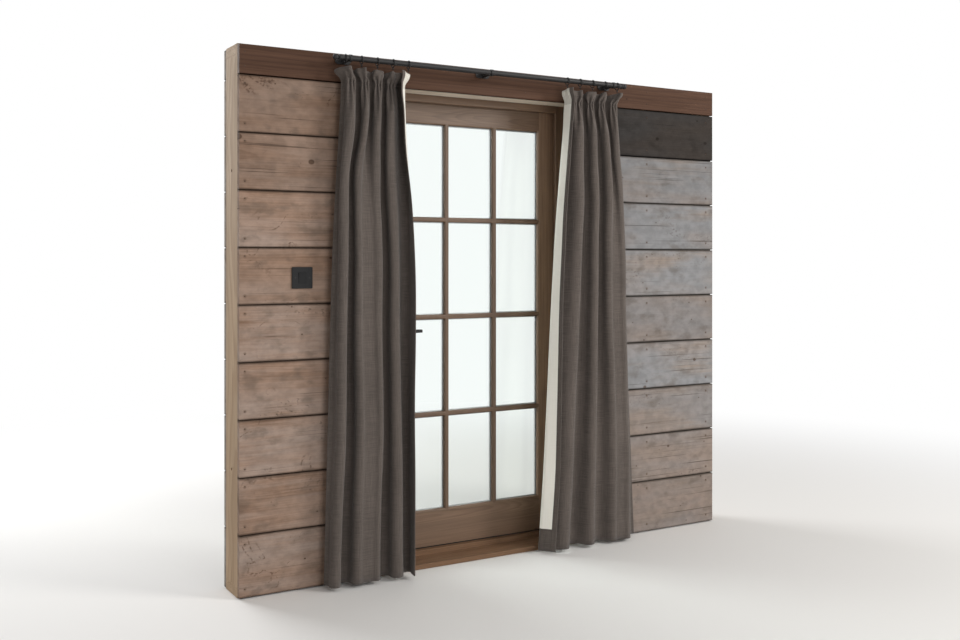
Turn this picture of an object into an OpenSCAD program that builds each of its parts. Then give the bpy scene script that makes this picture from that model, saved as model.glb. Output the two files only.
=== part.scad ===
// Door bay of a timber hut: one panel of the long wall, boarded on both sides, with a glazed
// door in a deep reveal, and two curtains on a pole over it.
// The room side faces -Y and the outside faces +Y. The origin lies on the underside of the
// threshold, at the middle of the doorway and of the wall's thickness.

/* [Wall] */
// Wall left of the doorway, seen from the room
side_left = 617; // [617:5:1200]
// Wall right of the doorway, up to the hut's corner
side_right = 817; // [600:5:1200]
// Depth of the studs and plates
stud_d = 145; // [120:5:180]
// Thickness of a stud or plate
stud_t = 45; // [35:1:60]
// Thickness of the corner post
corner_t = 90; // [60:1:120]
// Thickness of the wall boards
board_t = 25; // [18:1:30]
// Height from one board joint to the next
board_pitch = 228; // [150:0.5:300]
// Open joint between two boards
board_gap = 4; // [2:0.5:6]
// Depth of the open joint behind the face of the boards
joint_deep = 16; // [6:1:17]
// Gap between the lowest board and the floor
floor_gap = 4; // [2:0.5:15]
// Height of the lintel over the door frame
lintel_h = 57; // [45:1:120]
// Radius of the bolt holes in the end studs
bolt_r = 6.5; // [4.5:0.5:9]
// Height of the lower bolt hole
bolt_low = 500; // [200:10:800]
// Distance between the two bolt holes of an end stud
bolt_apart = 1200; // [600:10:1400]

/* [Door frame] */
// Width of a jamb, seen from the room
jamb_w = 75; // [60:1:100]
// Height of the frame head
head_h = 55; // [50:1:90]
// Depth of the frame through the wall
frame_d = 70; // [60:1:90]
// How far the stop laps over the leaf
stop_lap = 12; // [8:1:15]
// Chamfer along the room side of the frame's opening
stop_ease = 4; // [2:0.5:8]
// Running gap around the leaf
leaf_gap = 6.5; // [5:0.5:8]
// Thickness of the reveal boards
reveal_t = 20; // [15:1:25]
// Height of the threshold under the leaf
threshold_h = 43.5; // [35:0.5:60]
// Height of the threshold's inner step
step_h = 22; // [15:1:30]
// How far the threshold stands out of the wall
nose = 25; // [15:1:40]

/* [Door leaf] */
// Number of panes across
pane_cols = 3; // [2:1:4]
// Number of panes up
pane_rows = 4; // [2:1:5]
// Clear width of one pane
pane_w = 232; // [180:1:300]
// Clear height of one pane
pane_h = 418; // [300:1:510]
// Width of a glazing bar
bar_w = 22; // [20:1:30]
// Web of a glazing bar, between two panes
bar_web = 8; // [6:1:10]
// Width of a stile
stile_w = 95; // [80:1:120]
// Height of the top rail
top_rail_h = 104; // [80:1:130]
// Height of the bottom rail
bottom_rail_h = 163; // [130:1:300]
// Thickness of the leaf
leaf_t = 44; // [40:1:54]
// Thickness of the glazing unit
glass_t = 14; // [4:1:16]
// Depth of the glazing bead
bead_t = 13; // [8:1:16]
// Splay of the glazing bead's outer face
bead_splay = 4; // [1:0.5:5]
// Radius of the rounded moulding along the panes
mould_r = 7; // [3:1:8]

/* [Hinges and lever] */
// Height of a hinge
hinge_h = 100; // [75:1:130]
// Distance from the end of the leaf to the middle of the outer hinges
hinge_end = 200; // [150:5:300]
// Outer radius of a hinge knuckle
knuckle_r = 6; // [5:0.5:8]
// Radius of a hinge pin
pin_r = 3; // [2:0.5:4]
// Height of the lever above the floor
lever_z = 1024; // [900:1:1100]
// Length of the lever from its spindle to its tip
lever_len = 145; // [100:1:160]
// Width of a handle plate
plate_w = 42; // [30:1:50]
// Height of a handle plate
plate_h = 170; // [120:1:240]

/* [Pole and curtains] */
// How far the pole runs past the doorway on the left, up to its finial
pole_past_left = 222; // [160:1:400]
// How far the pole runs past the doorway on the right, up to its finial
pole_past_right = 162; // [120:1:400]
// Diameter of the pole
pole_d = 22; // [16:1:28]
// Distance from the wall boards to the middle of the pole
pole_stand = 80; // [75:1:110]
// Distance from the top of the wall down to the middle of the pole
pole_drop = 35; // [32:1:60]
// Number of rings on each curtain, one to a pleat
ring_count = 5; // [4:1:9]
// Radius of the round bar of a ring
ring_wire = 2.2; // [1.5:0.1:3]
// Width of a curtain at its heading
curtain_w = 325; // [280:5:400]
// Depth of the curtain's folds
curtain_t = 84; // [60:1:100]
// Gap between the curtain's hem and the floor
hem_gap = 15; // [5:1:60]

/* [Light switch] */
// Width and height of the switch plate
switch_w = 88; // [80:1:90]
// Distance from the doorway's edge to the middle of the switch
switch_out = 356; // [320:1:450]
// Height of the middle of the switch
switch_z = 1268; // [900:1:1400]

/* [Hidden] */
$fn = 48;
cut = 1;
touch = 0.3;
bead_inset = 1;

// Planes through the wall's thickness
wall_t = stud_d + 2 * board_t;
room_y = -wall_t / 2;
out_y = wall_t / 2;
stud_in = -stud_d / 2;
stud_out = stud_d / 2;
frame_in = out_y - frame_d;
leaf_in = out_y - leaf_t;
stop_out = leaf_in - leaf_gap;
glass_out = out_y - bead_inset - bead_t;
glass_in = glass_out - glass_t;

// Widths and heights of the leaf and its frame
rebate = (bar_w - bar_web) / 2;
glass_w = pane_cols * pane_w + (pane_cols - 1) * bar_w;
glass_h = pane_rows * pane_h + (pane_rows - 1) * bar_w;
leaf_w = glass_w + 2 * stile_w;
leaf_z = threshold_h + leaf_gap;
glass_z = leaf_z + bottom_rail_h;
glass_top = glass_z + glass_h;
leaf_top = glass_top + top_rail_h;
stop_x = leaf_w / 2 - stop_lap;
rebate_x = leaf_w / 2 + leaf_gap;
frame_x = stop_x + jamb_w;
stop_z = leaf_top - stop_lap;
frame_top = stop_z + head_h;
soffit_z = frame_top - reveal_t;

// Heights and ends of the wall
plate_z = frame_top + lintel_h;
wall_h = plate_z + stud_t;
left_x = -frame_x - side_left;
right_x = frame_x + side_right;
course_top = soffit_z - board_gap;
course_count = round((course_top - floor_gap) / board_pitch) - 1;
board_top = wall_h - board_gap;

// Pole, rings and curtains
pole_y = room_y - pole_stand;
pole_z = wall_h - pole_drop;
pole_left = -frame_x - pole_past_left;
pole_right = frame_x + pole_past_right;
ring_r = pole_d / 2 + 5.5;
ring_z = pole_z + pole_d / 2 + touch + ring_wire - ring_r;
eye_r = 3.2;
eye_wire = 1.1;
eye_z = ring_z - ring_r - ring_wire - eye_r;
bracket_in = 45;
bracket_w = 12;
ring_pitch = (curtain_w - 37) / (ring_count - 1);
curtain_top = eye_z - eye_r - eye_wire - touch;
left_foot = [60, 8];
right_foot = [130, 113];

// Hinges
pin_x = (leaf_w / 2 + rebate_x) / 2;
pin_y = out_y + knuckle_r + 0.5;
hinge_t = 2;
hinge_d = 40;
knuckle_h = hinge_h / 5;
hinge_zs = [leaf_z + hinge_end, (leaf_z + leaf_top) / 2, leaf_top - hinge_end];

// Lever and lock
lever_x = -(glass_w + stile_w) / 2;
spindle_r = 5;
neck_r = 8;
neck_l = 38;
plate_t = 6;
forend_w = 24;
forend_h = 200;
key_drop = 72;
key_r = 4.5;

module box(low, high) {
    translate(low) cube(high - low);
}

// Points on a round, from angle a to angle b
function round_points(centre, r, a, b, steps = 6) =
    [for (i = [0:steps]) let (t = a + (b - a) * i / steps) centre + r * [cos(t), sin(t)]];

// Wall frame

module end_stud(x, w) {
    difference() {
        box([x, stud_in, stud_t], [x + w, stud_out, plate_z]);
        for (z = [bolt_low, bolt_low + bolt_apart])
            translate([x - cut, 0, z]) rotate([0, 90, 0]) cylinder(r = bolt_r, h = w + 2 * cut);
    }
}

module sole_plate_left() {
    color("burlywood") box([left_x, stud_in, 0], [-frame_x, stud_out, stud_t]);
}

module sole_plate_right() {
    color("burlywood") box([frame_x, stud_in, 0], [right_x, stud_out, stud_t]);
}

module stud_left_end() {
    color("burlywood") end_stud(left_x, stud_t);
}

module stud_left_door() {
    color("burlywood") box([-frame_x - stud_t, stud_in, stud_t], [-frame_x, stud_out, plate_z]);
}

module stud_right_door() {
    color("burlywood") box([frame_x, stud_in, stud_t], [frame_x + stud_t, stud_out, plate_z]);
}

module stud_right_middle() {
    middle = (frame_x + right_x - corner_t) / 2;
    color("burlywood") box([middle, stud_in, stud_t], [middle + stud_t, stud_out, plate_z]);
}

module corner_post() {
    color("burlywood") end_stud(right_x - corner_t, corner_t);
}

module lintel() {
    color("burlywood") box([-frame_x, stud_in, frame_top], [frame_x, stud_out, plate_z]);
}

module top_plate() {
    color("burlywood") box([left_x, stud_in, plate_z], [right_x, stud_out, wall_h]);
}

// Wall boards: the section of a boarded face, with an open joint between two courses.
// It is drawn with its face at 0 and its back at board_t.
module board_section(z_low, z_high) {
    difference() {
        translate([0, z_low]) square([board_t, z_high - z_low]);
        for (k = [0:course_count]) {
            z = course_top - k * board_pitch;
            if (z < z_high - board_gap && z > z_low + board_gap)
                translate([-cut, z - board_gap / 2]) square([joint_deep + cut, board_gap]);
        }
    }
}

module boards(x_low, x_high, z_low, z_high, outside = false) {
    translate([x_low, outside ? out_y : room_y, 0])
        mirror([0, outside ? 1 : 0, 0])
            rotate([90, 0, 90])
                linear_extrude(height = x_high - x_low) board_section(z_low, z_high);
}

module inner_boards_left() {
    color("tan") boards(left_x, -frame_x, floor_gap, course_top);
}

module inner_boards_right() {
    color("tan") boards(frame_x, right_x, floor_gap, course_top);
}

module head_board() {
    color("saddlebrown")
        box([left_x, room_y, soffit_z], [right_x, stud_in, board_top]);
}

module outer_boards_left() {
    color("silver") boards(left_x, -frame_x, floor_gap, board_top, true);
}

module outer_boards_right() {
    color("silver") boards(frame_x, right_x, floor_gap, board_top, true);
}

module outer_boards_over() {
    color("silver") boards(-frame_x, frame_x, frame_top, board_top, true);
}

// Reveal, threshold and door frame

module reveal_side(s) {
    low = frame_x - reveal_t;
    mirror([s < 0 ? 1 : 0, 0, 0])
        box([low, room_y, step_h], [frame_x, frame_in, soffit_z]);
}

module reveal_left() {
    color("peru") reveal_side(-1);
}

module reveal_right() {
    color("peru") reveal_side(1);
}

module reveal_head() {
    color("wheat") box([-frame_x, stud_in, soffit_z], [frame_x, frame_in, frame_top]);
}

// Threshold section: an inner step, the seat under the leaf, and a nose that sheds water,
// with a drip groove under it.
module threshold() {
    drip = 5;
    nose_y = out_y + nose;
    color("peru")
        translate([-frame_x, 0, 0])
            rotate([90, 0, 90])
                linear_extrude(height = 2 * frame_x)
                    polygon([
                        [room_y, 0], [out_y, 0], [out_y, threshold_h / 3],
                        [nose_y - 3 * drip, threshold_h / 3], [nose_y - 3 * drip, threshold_h / 3 + drip],
                        [nose_y - 2 * drip, threshold_h / 3 + drip], [nose_y - 2 * drip, threshold_h / 3],
                        [nose_y, threshold_h / 3], [nose_y, threshold_h * 2 / 3],
                        [out_y, threshold_h], [frame_in, threshold_h], [frame_in, step_h],
                        [room_y, step_h]
                    ]);
}

// The chamfered mouth of the frame's opening, mitred at its upper corners
module frame_mouth() {
    wide = stop_ease + cut;
    hull() {
        box([-stop_x - wide, frame_in - 2 * cut, 0], [stop_x + wide, frame_in - cut, stop_z + wide]);
        box([-stop_x + cut, frame_in + wide, 0], [stop_x - cut, frame_in + wide + cut, stop_z - cut]);
    }
}

module jamb_section() {
    polygon([
        [stop_x, frame_in], [frame_x, frame_in], [frame_x, out_y],
        [rebate_x, out_y], [rebate_x, stop_out], [stop_x, stop_out]
    ]);
}

module jamb(s) {
    mirror([s < 0 ? 1 : 0, 0, 0])
        translate([0, 0, threshold_h])
            linear_extrude(height = frame_top - threshold_h) jamb_section();
}

module frame_jamb_lock() {
    color("sienna")
        difference() {
            jamb(-1);
            frame_mouth();
            strike_blank();
            strike_hole(depth = 14);
        }
}

module frame_jamb_hinge() {
    color("sienna")
        difference() {
            jamb(1);
            frame_mouth();
            for (z = hinge_zs) hinge_frame_plate(z);
        }
}

module frame_head() {
    color("sienna") {
        difference() {
            box([-stop_x, frame_in, stop_z], [stop_x, stop_out, frame_top]);
            frame_mouth();
        }
        box([-rebate_x, stop_out, leaf_top + leaf_gap], [rebate_x, out_y, frame_top]);
    }
}

// Door leaf

// Stile section on the right of the leaf: the moulding faces the room, the rebate the outside.
module stile_section() {
    edge = glass_w / 2;
    polygon(concat(
        round_points([edge + mould_r, leaf_in + mould_r], mould_r, 180, 270),
        [[leaf_w / 2, leaf_in], [leaf_w / 2, out_y], [edge + rebate, out_y],
         [edge + rebate, glass_in], [edge, glass_in]]
    ));
}

module stile(s) {
    mirror([s < 0 ? 1 : 0, 0, 0])
        translate([0, 0, leaf_z])
            linear_extrude(height = leaf_top - leaf_z) stile_section();
}

module leaf_stile_lock() {
    color("sienna")
        difference() {
            stile(-1);
            forend_blank();
            translate([lever_x, leaf_in - cut, lever_z])
                rotate([-90, 0, 0]) cylinder(r = spindle_r + 2, h = leaf_t + 2 * cut);
            for (outside = [false, true])
                on_face(outside) translate([0, cut, -key_drop])
                    rotate([90, 0, 0]) cylinder(r = key_r + 3, h = 12 + cut);
        }
}

module leaf_stile_hinge() {
    color("sienna")
        difference() {
            stile(1);
            for (z = hinge_zs) hinge_leaf_plate(z);
        }
}

// Rail section of height h, moulded and rebated along its lower edge
module rail_section(h) {
    polygon(concat(
        round_points([leaf_in + mould_r, mould_r], mould_r, 180, 270),
        [[glass_in, 0], [glass_in, rebate], [out_y, rebate], [out_y, h], [leaf_in, h]]
    ));
}

module rail(h) {
    length = glass_w + 2 * rebate;
    translate([-length / 2, 0, 0])
        rotate([90, 0, 90]) linear_extrude(height = length) rail_section(h);
}

module top_rail_blank() {
    translate([0, 0, glass_top]) rail(top_rail_h);
}

module bottom_rail_blank() {
    translate([0, 0, glass_z]) mirror([0, 0, 1]) rail(bottom_rail_h);
}

// The rails' ends are coped over the stiles' moulding.
module leaf_top_rail() {
    color("sienna")
        difference() {
            top_rail_blank();
            stile(-1);
            stile(1);
        }
}

module leaf_bottom_rail() {
    color("sienna")
        difference() {
            bottom_rail_blank();
            stile(-1);
            stile(1);
        }
}

// Glazing bar section: a rounded nose to the room and a web between two panes
module bar_section() {
    nose_r = min(mould_r, bar_w / 2 - 2);
    polygon(concat(
        round_points([-bar_w / 2 + nose_r, leaf_in + nose_r], nose_r, 180, 270),
        round_points([bar_w / 2 - nose_r, leaf_in + nose_r], nose_r, 270, 360),
        [[bar_w / 2, glass_in], [bar_web / 2, glass_in], [bar_web / 2, out_y],
         [-bar_web / 2, out_y], [-bar_web / 2, glass_in], [-bar_w / 2, glass_in]]
    ));
}

module upright_bar(x) {
    translate([x, 0, glass_z - rebate])
        linear_extrude(height = glass_h + 2 * rebate) bar_section();
}

module cross_bar(z) {
    translate([-glass_w / 2 - rebate, 0, z])
        rotate([90, 0, 90])
            linear_extrude(height = glass_w + 2 * rebate)
                rotate(90) mirror([0, 1]) bar_section();
}

function pane_x(i) = (i - (pane_cols - 1) / 2) * (pane_w + bar_w);
function pane_z(j) = glass_z + pane_h / 2 + j * (pane_h + bar_w);

module glazing_bars() {
    color("peru")
        difference() {
            union() {
                for (i = [1:pane_cols - 1]) upright_bar(pane_x(i) - (pane_w + bar_w) / 2);
                for (j = [1:pane_rows - 1]) cross_bar(pane_z(j) - (pane_h + bar_w) / 2);
            }
            stile(-1);
            stile(1);
            top_rail_blank();
            bottom_rail_blank();
        }
}

module glass_panes() {
    half = [pane_w / 2 + rebate - 1, 0, pane_h / 2 + rebate - 1];
    color([0.8, 0.9, 0.92, 0.4])
        for (i = [0:pane_cols - 1], j = [0:pane_rows - 1]) {
            centre = [pane_x(i), 0, pane_z(j)];
            box(centre - half + [0, glass_in, 0], centre + half + [0, glass_out, 0]);
        }
}

// Glazing bead round one pane, drawn from its outer face at 0 down to the glass. Its splay
// widens the opening from the pane's size at the glass to a wider one outside.

module pane_slab(wider, z) {
    translate([0, 0, z])
        linear_extrude(height = cut) square([pane_w + 2 * wider, pane_h + 2 * wider], center = true);
}

module bead() {
    slope = bead_splay / bead_t;
    difference() {
        linear_extrude(height = bead_t)
            square([pane_w + 2 * rebate, pane_h + 2 * rebate], center = true);
        hull() {
            pane_slab(bead_splay + slope * cut, -2 * cut);
            pane_slab(-slope * cut, bead_t + cut);
        }
    }
}

module glazing_beads() {
    color("peru")
        for (i = [0:pane_cols - 1], j = [0:pane_rows - 1])
            translate([pane_x(i), glass_out + bead_t, pane_z(j)]) rotate([90, 0, 0]) bead();
}

// Weather bar across the foot of the leaf: a sloped top and a drip groove
module weather_bar() {
    out = 34;
    high = 46;
    lip = 12;
    low = leaf_z + 6;
    length = leaf_w - 30;
    color("sienna")
        translate([-length / 2, out_y, low])
            rotate([90, 0, 90])
                linear_extrude(height = length)
                    polygon([
                        [0, 0], [out - 2 * lip, 0], [out - 2 * lip, lip / 3], [out - lip, lip / 3],
                        [out - lip, 0], [out, 0], [out, lip], [lip / 2, high], [0, high]
                    ]);
}

// Hinges: the frame's half carries knuckles 0, 2 and 4 and the pin, the leaf's half 1 and 3.

module hinge_frame_plate(z) {
    box([rebate_x, out_y - hinge_d, z - hinge_h / 2], [rebate_x + hinge_t, out_y, z + hinge_h / 2]);
}

module hinge_leaf_plate(z) {
    edge = leaf_w / 2;
    box([edge - hinge_t, out_y - hinge_d, z - hinge_h / 2], [edge, out_y, z + hinge_h / 2]);
}

module knuckle(z, k, x_low, x_high) {
    end_gap = 0.3;
    low = z - hinge_h / 2 + k * knuckle_h + end_gap;
    high = low + knuckle_h - 2 * end_gap;
    translate([pin_x, pin_y, low]) cylinder(r = knuckle_r, h = high - low);
    box([x_low, out_y - cut, low], [x_high, pin_y, high]);
}

module hinge_frame_halves() {
    color("dimgray")
        for (z = hinge_zs) {
            hinge_frame_plate(z);
            for (k = [0, 2, 4]) knuckle(z, k, rebate_x, rebate_x + hinge_t);
            translate([pin_x, pin_y, z - hinge_h / 2]) cylinder(r = pin_r, h = hinge_h);
            for (s = [-1, 1]) translate([pin_x, pin_y, z + s * hinge_h / 2]) sphere(r = knuckle_r - 1);
        }
}

module hinge_leaf_halves() {
    edge = leaf_w / 2;
    running = 0.08;
    color("dimgray")
        difference() {
            for (z = hinge_zs) {
                hinge_leaf_plate(z);
                for (k = [1, 3]) knuckle(z, k, edge - hinge_t, edge);
            }
            for (z = hinge_zs)
                translate([pin_x, pin_y, z - hinge_h / 2 - cut])
                    cylinder(r = pin_r + running, h = hinge_h + 2 * cut);
        }
}

// Lock: a forend plate on the leaf's edge and a strike plate on the jamb

function lock_y() = (leaf_in + out_y) / 2;

module forend_blank() {
    edge = leaf_w / 2;
    box([-edge, lock_y() - forend_w / 2, lever_z - forend_h * 0.6],
        [-edge + hinge_t, lock_y() + forend_w / 2, lever_z + forend_h * 0.4]);
}

module strike_blank() {
    box([-rebate_x - hinge_t, lock_y() - forend_w / 2, lever_z - 70],
        [-rebate_x, lock_y() + forend_w / 2, lever_z + 50]);
}

module strike_hole(depth) {
    box([-rebate_x - depth, lock_y() - 7, lever_z - 15], [-rebate_x + cut, lock_y() + 7, lever_z + 15]);
}

module lock_forend() {
    color("dimgray") forend_blank();
}

module strike_plate() {
    color("dimgray")
        difference() {
            strike_blank();
            strike_hole(depth = hinge_t + cut);
        }
}

// Handle plates and levers. Each is drawn for the outside, on a face at y = 0, and is
// turned over for the room side.

module on_face(outside) {
    translate([lever_x, outside ? out_y : leaf_in, lever_z])
        mirror([0, outside ? 0 : 1, 0]) children();
}

module handle_plate(outside) {
    bore = 0.1;
    end_r = plate_w / 2;
    drop = plate_h * 0.2;
    on_face(outside)
        difference() {
            union() {
                box([-end_r, 0, -drop - plate_h / 2 + end_r], [end_r, plate_t, -drop + plate_h / 2 - end_r]);
                for (s = [-1, 1])
                    translate([0, plate_t, -drop + s * (plate_h / 2 - end_r)])
                        rotate([90, 0, 0]) cylinder(r = end_r, h = plate_t);
            }
            translate([0, plate_t + cut, 0])
                rotate([90, 0, 0]) cylinder(r = spindle_r + bore, h = plate_t + 2 * cut);
            translate([0, plate_t + cut, -key_drop]) {
                rotate([90, 0, 0]) cylinder(r = key_r, h = plate_t + 2 * cut);
                box([-key_r / 2, -plate_t - 2 * cut, -3 * key_r], [key_r / 2, 0, 0]);
            }
        }
}

module handle_plate_inside() {
    color([0.15, 0.14, 0.13]) handle_plate(false);
}

module handle_plate_outside() {
    color([0.15, 0.14, 0.13]) handle_plate(true);
}

// Lever: a round neck on a collar, and a blade that flows out of the neck, tapers in its
// height and rounds off at the tip. The blade is where its front shape and its plan meet.

module blade_front(root_r, tip_r) {
    tip_x = lever_len - tip_r;
    circle(r = root_r);
    translate([tip_x, 0]) circle(r = tip_r);
    polygon([[0, -root_r], [tip_x, -tip_r], [tip_x, tip_r], [0, root_r]]);
}

module blade_plan(root_r, inner, outer) {
    blend = 8;
    tip_round = (outer - inner) * 0.6;
    back = 3;
    polygon(concat(
        [[-neck_r, inner - blend]],
        round_points([back - root_r, outer - back], back, 180, 90),
        round_points([lever_len - tip_round, outer - tip_round], tip_round, 90, 0),
        [[lever_len, inner + 1], [lever_len - 1, inner]],
        round_points([neck_r + blend, inner - blend], blend, 90, 180)
    ));
}

module lever() {
    blade_t = 11;
    root_r = 10;
    tip_r = 7;
    collar_h = 5;
    start = plate_t + 0.5;
    end = start + neck_l;
    translate([0, end - 1, 0]) rotate([90, 0, 0]) cylinder(r = neck_r, h = neck_l - 1);
    translate([0, start + collar_h, 0]) rotate([90, 0, 0]) cylinder(r = neck_r + 3, h = collar_h);
    intersection() {
        translate([0, end, 0]) rotate([90, 0, 0])
            linear_extrude(height = neck_l) blade_front(root_r, tip_r);
        linear_extrude(height = 2 * root_r, center = true) blade_plan(root_r, end - blade_t, end);
    }
}

module lever_inside() {
    color([0.15, 0.14, 0.13]) {
        on_face(false) lever();
        reach = leaf_t + 2 * plate_t + 1;
        translate([lever_x, leaf_in - plate_t - 0.5, lever_z])
            rotate([-90, 0, 0]) cylinder(r = spindle_r, h = reach);
    }
}

module lever_outside() {
    color([0.15, 0.14, 0.13]) on_face(true) lever();
}

// Curtain pole, its brackets and finials, and the rings

module along_x(x) {
    translate([x, pole_y, pole_z]) rotate([0, 90, 0]) children();
}

module curtain_pole() {
    color([0.12, 0.11, 0.11]) along_x(pole_left) cylinder(d = pole_d, h = pole_right - pole_left);
}

// Bracket: a wall plate with round ends, a flat arm on edge that deepens towards the wall,
// and a collar round the pole
module pole_bracket(x) {
    collar_r = pole_d / 2 + 4;
    base_w = 70;
    base_h = 26;
    base_t = 4;
    arm_t = 8;
    arm_high = 18;
    difference() {
        union() {
            translate([x, room_y, pole_z]) rotate([90, 0, 0]) {
                translate([0, 0, base_t / 2]) cube([base_w - base_h, base_h, base_t], center = true);
                for (s = [-1, 1]) translate([s * (base_w - base_h) / 2, 0, 0]) cylinder(d = base_h, h = base_t);
            }
            translate([x - arm_t / 2, 0, pole_z])
                rotate([90, 0, 90])
                    linear_extrude(height = arm_t)
                        polygon([
                            [room_y - base_t / 2, -base_h / 2], [room_y - base_t / 2, base_h / 2],
                            [pole_y + base_h, arm_high / 2], [pole_y, arm_high / 2],
                            [pole_y, -arm_high / 2], [pole_y + base_h, -arm_high / 2]
                        ]);
            along_x(x - bracket_w / 2) cylinder(r = collar_r, h = bracket_w);
        }
        along_x(x - bracket_w / 2 - cut) cylinder(d = pole_d + 2 * touch, h = bracket_w + 2 * cut);
    }
}

module pole_brackets() {
    color([0.12, 0.11, 0.11])
        for (x = [pole_left + bracket_in, (pole_left + pole_right) / 2, pole_right - bracket_in])
            pole_bracket(x);
}

// Finial: a cap over the pole's end, a waist and a ball
module finial() {
    ball_r = 12.5;
    cap_r = pole_d / 2 + 2;
    cap_h = 5;
    waist_r = 7;
    waist_h = 3;
    cylinder(r = cap_r, h = cap_h);
    cylinder(r = waist_r, h = cap_h + waist_h + ball_r);
    translate([0, 0, cap_h + waist_h + ball_r - 1]) sphere(r = ball_r);
}

module pole_finials() {
    color([0.12, 0.11, 0.11]) {
        along_x(pole_right) finial();
        along_x(pole_left) mirror([0, 0, 1]) finial();
    }
}

// A ring is a hoop on the pole with a small eye under it for the curtain's hook.
// The outermost ring of a curtain sits between the bracket and the finial, the others inside it.
function ring_out(k) = bracket_in / 2 + (k == 0 ? 0 : k * ring_pitch);

module hoop(r, wire) {
    rotate_extrude() translate([r, 0]) circle(r = wire, $fn = 24);
}

module ring(x) {
    translate([x, pole_y, ring_z]) rotate([0, 90, 0]) hoop(ring_r, ring_wire);
    translate([x, pole_y, eye_z]) rotate([90, 0, 0]) hoop(eye_r, eye_wire);
}

module curtain_rings() {
    color([0.12, 0.11, 0.11])
        for (k = [0:ring_count - 1]) {
            ring(pole_left + ring_out(k));
            ring(pole_right - ring_out(k));
        }
}

// Curtains: plain solids that hold the folds, wider at the foot than at the heading.
// foot gives how far the hem spreads to the left and to the right of the heading.
module curtain(x, foot) {
    translate([0, pole_y + curtain_t / 2, 0])
        rotate([90, 0, 0])
            linear_extrude(height = curtain_t)
                polygon([
                    [x, curtain_top], [x - foot[0], hem_gap],
                    [x + curtain_w + foot[1], hem_gap], [x + curtain_w, curtain_top]
                ]);
}

module curtain_left() {
    color("gray") curtain(pole_left, left_foot);
}

module curtain_right() {
    color("gray") curtain(pole_right - curtain_w, right_foot);
}

// Light switch: a plate with round corners and a rocker that is pressed in at its foot
module light_switch() {
    plate = 6;
    corner_r = 5;
    rocker_w = 32;
    rocker_h = 44;
    inner = switch_w / 2 - corner_r;
    color([0.1, 0.1, 0.1])
        translate([-frame_x - switch_out, room_y, switch_z]) {
            rotate([90, 0, 0])
                linear_extrude(height = plate)
                    polygon(concat(
                        round_points([inner, inner], corner_r, 0, 90),
                        round_points([-inner, inner], corner_r, 90, 180),
                        round_points([-inner, -inner], corner_r, 180, 270),
                        round_points([inner, -inner], corner_r, 270, 360)
                    ));
            translate([-rocker_w / 2, 0, 0])
                rotate([90, 0, 90])
                    linear_extrude(height = rocker_w)
                        polygon([
                            [-plate + cut, -rocker_h / 2], [-plate - 1, -rocker_h / 2],
                            [-plate - 2, 0], [-plate - 4, rocker_h / 2], [-plate + cut, rocker_h / 2]
                        ]);
        }
}

sole_plate_left();
sole_plate_right();
stud_left_end();
stud_left_door();
stud_right_door();
stud_right_middle();
corner_post();
lintel();
top_plate();
inner_boards_left();
inner_boards_right();
head_board();
outer_boards_left();
outer_boards_right();
outer_boards_over();
reveal_left();
reveal_right();
reveal_head();
threshold();
frame_jamb_lock();
frame_jamb_hinge();
frame_head();
hinge_frame_halves();
strike_plate();
curtain_pole();
pole_brackets();
pole_finials();
curtain_rings();
curtain_left();
curtain_right();
light_switch();
leaf_stile_lock();
leaf_stile_hinge();
leaf_top_rail();
leaf_bottom_rail();
glazing_bars();
glass_panes();
glazing_beads();
weather_bar();
hinge_leaf_halves();
lock_forend();
handle_plate_inside();
handle_plate_outside();
lever_inside();
lever_outside();
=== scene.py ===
"""Looks of a timber hut's door bay: boarded wall, glazed door in its reveal, curtains on a pole."""
import math

import bpy
import numpy as np
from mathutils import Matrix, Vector, noise


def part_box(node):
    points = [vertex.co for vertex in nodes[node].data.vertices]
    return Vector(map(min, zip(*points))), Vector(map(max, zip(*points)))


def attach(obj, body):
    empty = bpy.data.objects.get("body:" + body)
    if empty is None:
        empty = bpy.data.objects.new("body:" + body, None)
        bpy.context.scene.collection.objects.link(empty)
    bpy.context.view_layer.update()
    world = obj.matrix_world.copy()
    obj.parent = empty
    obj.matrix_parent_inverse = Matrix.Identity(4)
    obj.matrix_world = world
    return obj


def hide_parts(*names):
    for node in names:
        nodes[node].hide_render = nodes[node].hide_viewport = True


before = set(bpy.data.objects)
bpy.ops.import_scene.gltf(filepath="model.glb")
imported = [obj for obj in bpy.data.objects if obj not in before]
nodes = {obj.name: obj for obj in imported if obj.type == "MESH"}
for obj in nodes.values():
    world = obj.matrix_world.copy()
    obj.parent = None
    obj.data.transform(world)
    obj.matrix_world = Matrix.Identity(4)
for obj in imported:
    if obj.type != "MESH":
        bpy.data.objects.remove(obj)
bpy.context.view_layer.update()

# Studio. The bay stands on a wide pale floor that fades to white far off, under a white surround
# and three big soft lamps: one from the room's right, one from its middle, one from outdoors.


def fill(tree, node, inputs):
    """Links or fills a shader node's inputs."""
    for socket, value in inputs.items():
        if isinstance(value, bpy.types.NodeSocket):
            tree.links.new(value, node.inputs[socket])
        else:
            node.inputs[socket].default_value = value


def add_node(tree, kind, inputs=None, **settings):
    """Adds one shader node with its options and inputs."""
    node = tree.nodes.new(kind)
    for name, value in settings.items():
        setattr(node, name, value)
    fill(tree, node, inputs or {})
    return node


def calc(tree, operation, a, b=0.0, c=0.0, clamp=False):
    """One step of arithmetic on the shader's values."""
    node = add_node(tree, "ShaderNodeMath", {0: a, 1: b, 2: c}, operation=operation, use_clamp=clamp)
    return node.outputs[0]


def times(tree, a, b):
    """a times b."""
    return calc(tree, "MULTIPLY", a, b)


def length(tree, vector):
    """How long a vector is."""
    return add_node(tree, "ShaderNodeVectorMath", {0: vector}, operation="LENGTH").outputs["Value"]


def object_place(tree):
    """The place on the piece, in the shared frame."""
    return add_node(tree, "ShaderNodeTexCoord").outputs["Object"]


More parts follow.
